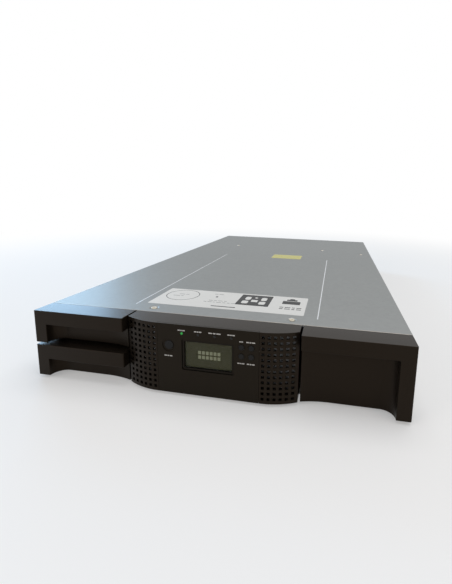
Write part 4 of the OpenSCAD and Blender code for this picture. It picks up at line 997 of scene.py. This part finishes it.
@dataclass
class Studio:
    """Camera, lamps, world and floor."""

    camera_mm: Point = (134.56, -341.82, 235.92)
    pitch_deg: float = 9.47
    yaw_deg: float = 9.79
    roll_deg: float = 1.47
    focal_px: float = 341.43
    centre_px: tuple[float, float] = (276.28, 249.63)
    fill_level: float = 0.5
    lamps: tuple[tuple[str, Point, Point, float, float, Colour], ...] = (
        ("overhead", (350.0, 300.0, 2200.0), (0.0, 250.0, 0.0), 1600.0, 20.0, (1.0, 0.99, 0.98)),
        ("front_left", (-1300.0, -1300.0, 900.0), (0.0, 0.0, 60.0), 800.0, 6.0, (1.0, 0.90, 0.82)),
        ("front_right", (1500.0, -1000.0, 500.0), (0.0, 0.0, 50.0), 500.0, 4.0, (1.0, 0.74, 0.54)),
        ("window_back_left", (-2400.0, 1990.0, 1050.0), (-190.0, 10.0, 85.0), 1300.0, 40.0,
         (0.40, 0.69, 1.0)),
    )

    def build(self) -> None:
        """Sets up the whole studio."""
        self.camera()
        self.world()
        for lamp in self.lamps:
            self.lamp(*lamp)
        self.floor()

    def camera(self) -> None:
        """Places the camera from its fitted place, angles and principal point."""
        pitch, yaw, roll = (math.radians(a) for a in (self.pitch_deg, self.yaw_deg, self.roll_deg))
        base = Matrix(((1, 0, 0), (0, 0, -1), (0, 1, 0)))
        look = (Matrix.Rotation(roll, 3, "Z") @ Matrix.Rotation(pitch, 3, "X")
                @ Matrix.Rotation(yaw, 3, "Y") @ base)
        flip = Matrix(((1, 0, 0), (0, -1, 0), (0, 0, -1)))
        data = bpy.data.cameras.new("camera")
        data.sensor_width = SENSOR
        data.lens = self.focal_px * SENSOR / IMAGE_H
        data.shift_x = (IMAGE_W / 2 - self.centre_px[0]) / IMAGE_H
        data.shift_y = (self.centre_px[1] - IMAGE_H / 2) / IMAGE_H
        data.clip_start = 0.01
        data.clip_end = 50.0
        cam = bpy.data.objects.new("camera", data)
        cam.matrix_world = (Matrix.Translation(Bench.at(*self.camera_mm))
                            @ (flip @ look).transposed().to_4x4())
        bpy.context.scene.collection.objects.link(cam)
        bpy.context.scene.camera = cam

    def world(self) -> None:
        """Even light for the object, and white for camera, glossy and transmission rays."""
        world = bpy.data.worlds.new("studio")
        bpy.context.scene.world = world
        world.use_nodes = True
        nodes, links = world.node_tree.nodes, world.node_tree.links
        nodes.clear()
        out = nodes.new("ShaderNodeOutputWorld")
        mix = nodes.new("ShaderNodeMixShader")
        fill, white = nodes.new("ShaderNodeBackground"), nodes.new("ShaderNodeBackground")
        fill.inputs["Color"].default_value = (0.94, 0.97, 1.0, 1.0)
        fill.inputs["Strength"].default_value = self.fill_level
        white.inputs["Color"].default_value = (1.0, 1.0, 1.0, 1.0)
        links.new(self.seen_rays(nodes, links), mix.inputs["Fac"])
        links.new(fill.outputs["Background"], mix.inputs[1])
        links.new(white.outputs["Background"], mix.inputs[2])
        links.new(mix.outputs["Shader"], out.inputs["Surface"])

    @staticmethod
    def seen_rays(nodes, links):
        """A socket that is 1 for camera, glossy and transmission rays."""
        path = nodes.new("ShaderNodeLightPath")
        first, second = nodes.new("ShaderNodeMath"), nodes.new("ShaderNodeMath")
        first.operation = second.operation = "MAXIMUM"
        links.new(path.outputs["Is Camera Ray"], first.inputs[0])
        links.new(path.outputs["Is Glossy Ray"], first.inputs[1])
        links.new(first.outputs["Value"], second.inputs[0])
        links.new(path.outputs["Is Transmission Ray"], second.inputs[1])
        return second.outputs["Value"]

    @staticmethod
    def lamp(name: str, place: Point, target: Point, size: float, watts: float,
             colour: Colour) -> None:
        """A large soft square lamp aimed at a point."""
        data = bpy.data.lights.new(name, "AREA")
        data.size = size * MM
        data.energy = watts
        data.color = colour
        lamp = bpy.data.objects.new(name, data)
        start, end = Bench.at(*place), Bench.at(*target)
        lamp.matrix_world = (Matrix.Translation(start)
                             @ (end - start).to_track_quat("-Z", "Y").to_matrix().to_4x4())
        bpy.context.scene.collection.objects.link(lamp)

    def floor(self) -> None:
        """A wide pale floor that keeps the object's shadow."""
        bpy.ops.object.select_all(action="DESELECT")
        bpy.ops.mesh.primitive_plane_add(size=24.0, location=(0, 0, -0.0005))
        floor = Bench.settle(bpy.context.object, "floor")
        mat = FLOOR_WHITE.material()
        nodes, links = mat.node_tree.nodes, mat.node_tree.links
        out = nodes["Material Output"]
        glow = nodes.new("ShaderNodeEmission")
        glow.inputs["Color"].default_value = (1.0, 1.0, 1.0, 1.0)
        share = nodes.new("ShaderNodeMath")
        share.operation = "MULTIPLY"
        links.new(self.distance_share(nodes, links), share.inputs[1])
        mix = nodes.new("ShaderNodeMixShader")
        links.new(self.seen_rays(nodes, links), share.inputs[0])
        links.new(share.outputs["Value"], mix.inputs["Fac"])
        links.new(nodes["Principled BSDF"].outputs["BSDF"], mix.inputs[1])
        links.new(glow.outputs["Emission"], mix.inputs[2])
        links.new(mix.outputs["Shader"], out.inputs["Surface"])
        floor.data.materials.append(mat)


    @staticmethod
    def distance_share(nodes, links):
        """A socket that grows from the object's surroundings to 1 far out on the floor."""
        place = nodes.new("ShaderNodeTexCoord")
        length = nodes.new("ShaderNodeVectorMath")
        length.operation = "LENGTH"
        links.new(place.outputs["Object"], length.inputs[0])
        grow = nodes.new("ShaderNodeMapRange")
        grow.interpolation_type = "SMOOTHSTEP"
        grow.inputs["From Min"].default_value = 0.45
        grow.inputs["From Max"].default_value = 1.6
        grow.inputs["To Min"].default_value = 0.30
        grow.inputs["To Max"].default_value = 1.0
        links.new(length.outputs["Value"], grow.inputs["Value"])
        return grow.outputs["Result"]


def dress_nodes(frame: dict) -> None:
    """Gives every CAD node its finish in its own material slots."""
    for node, obj in frame["nodes"].items():
        NODE_OBJECT[node] = obj.name
        finish = NODE_FINISH[node]
        if not obj.data.materials:
            obj.data.materials.append(finish.material())
        for i in range(len(obj.material_slots)):
            obj.material_slots[i].material = finish.material()


def main() -> None:
    """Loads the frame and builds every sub-assembly in order."""
    logging.basicConfig(level=logging.INFO, format="%(name)s: %(message)s")
    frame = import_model()
    Bench.set_up(frame)
    dress_nodes(frame)
    for assembly in (CaseShell(), FrontPanel(), Magazines(), Robot(), RearModules(), Studio()):
        LOG.info("building %s", type(assembly).__name__)
        assembly.build()
    bpy.context.scene.view_settings.view_transform = "Standard"


if __name__ == "__main__":
    main()
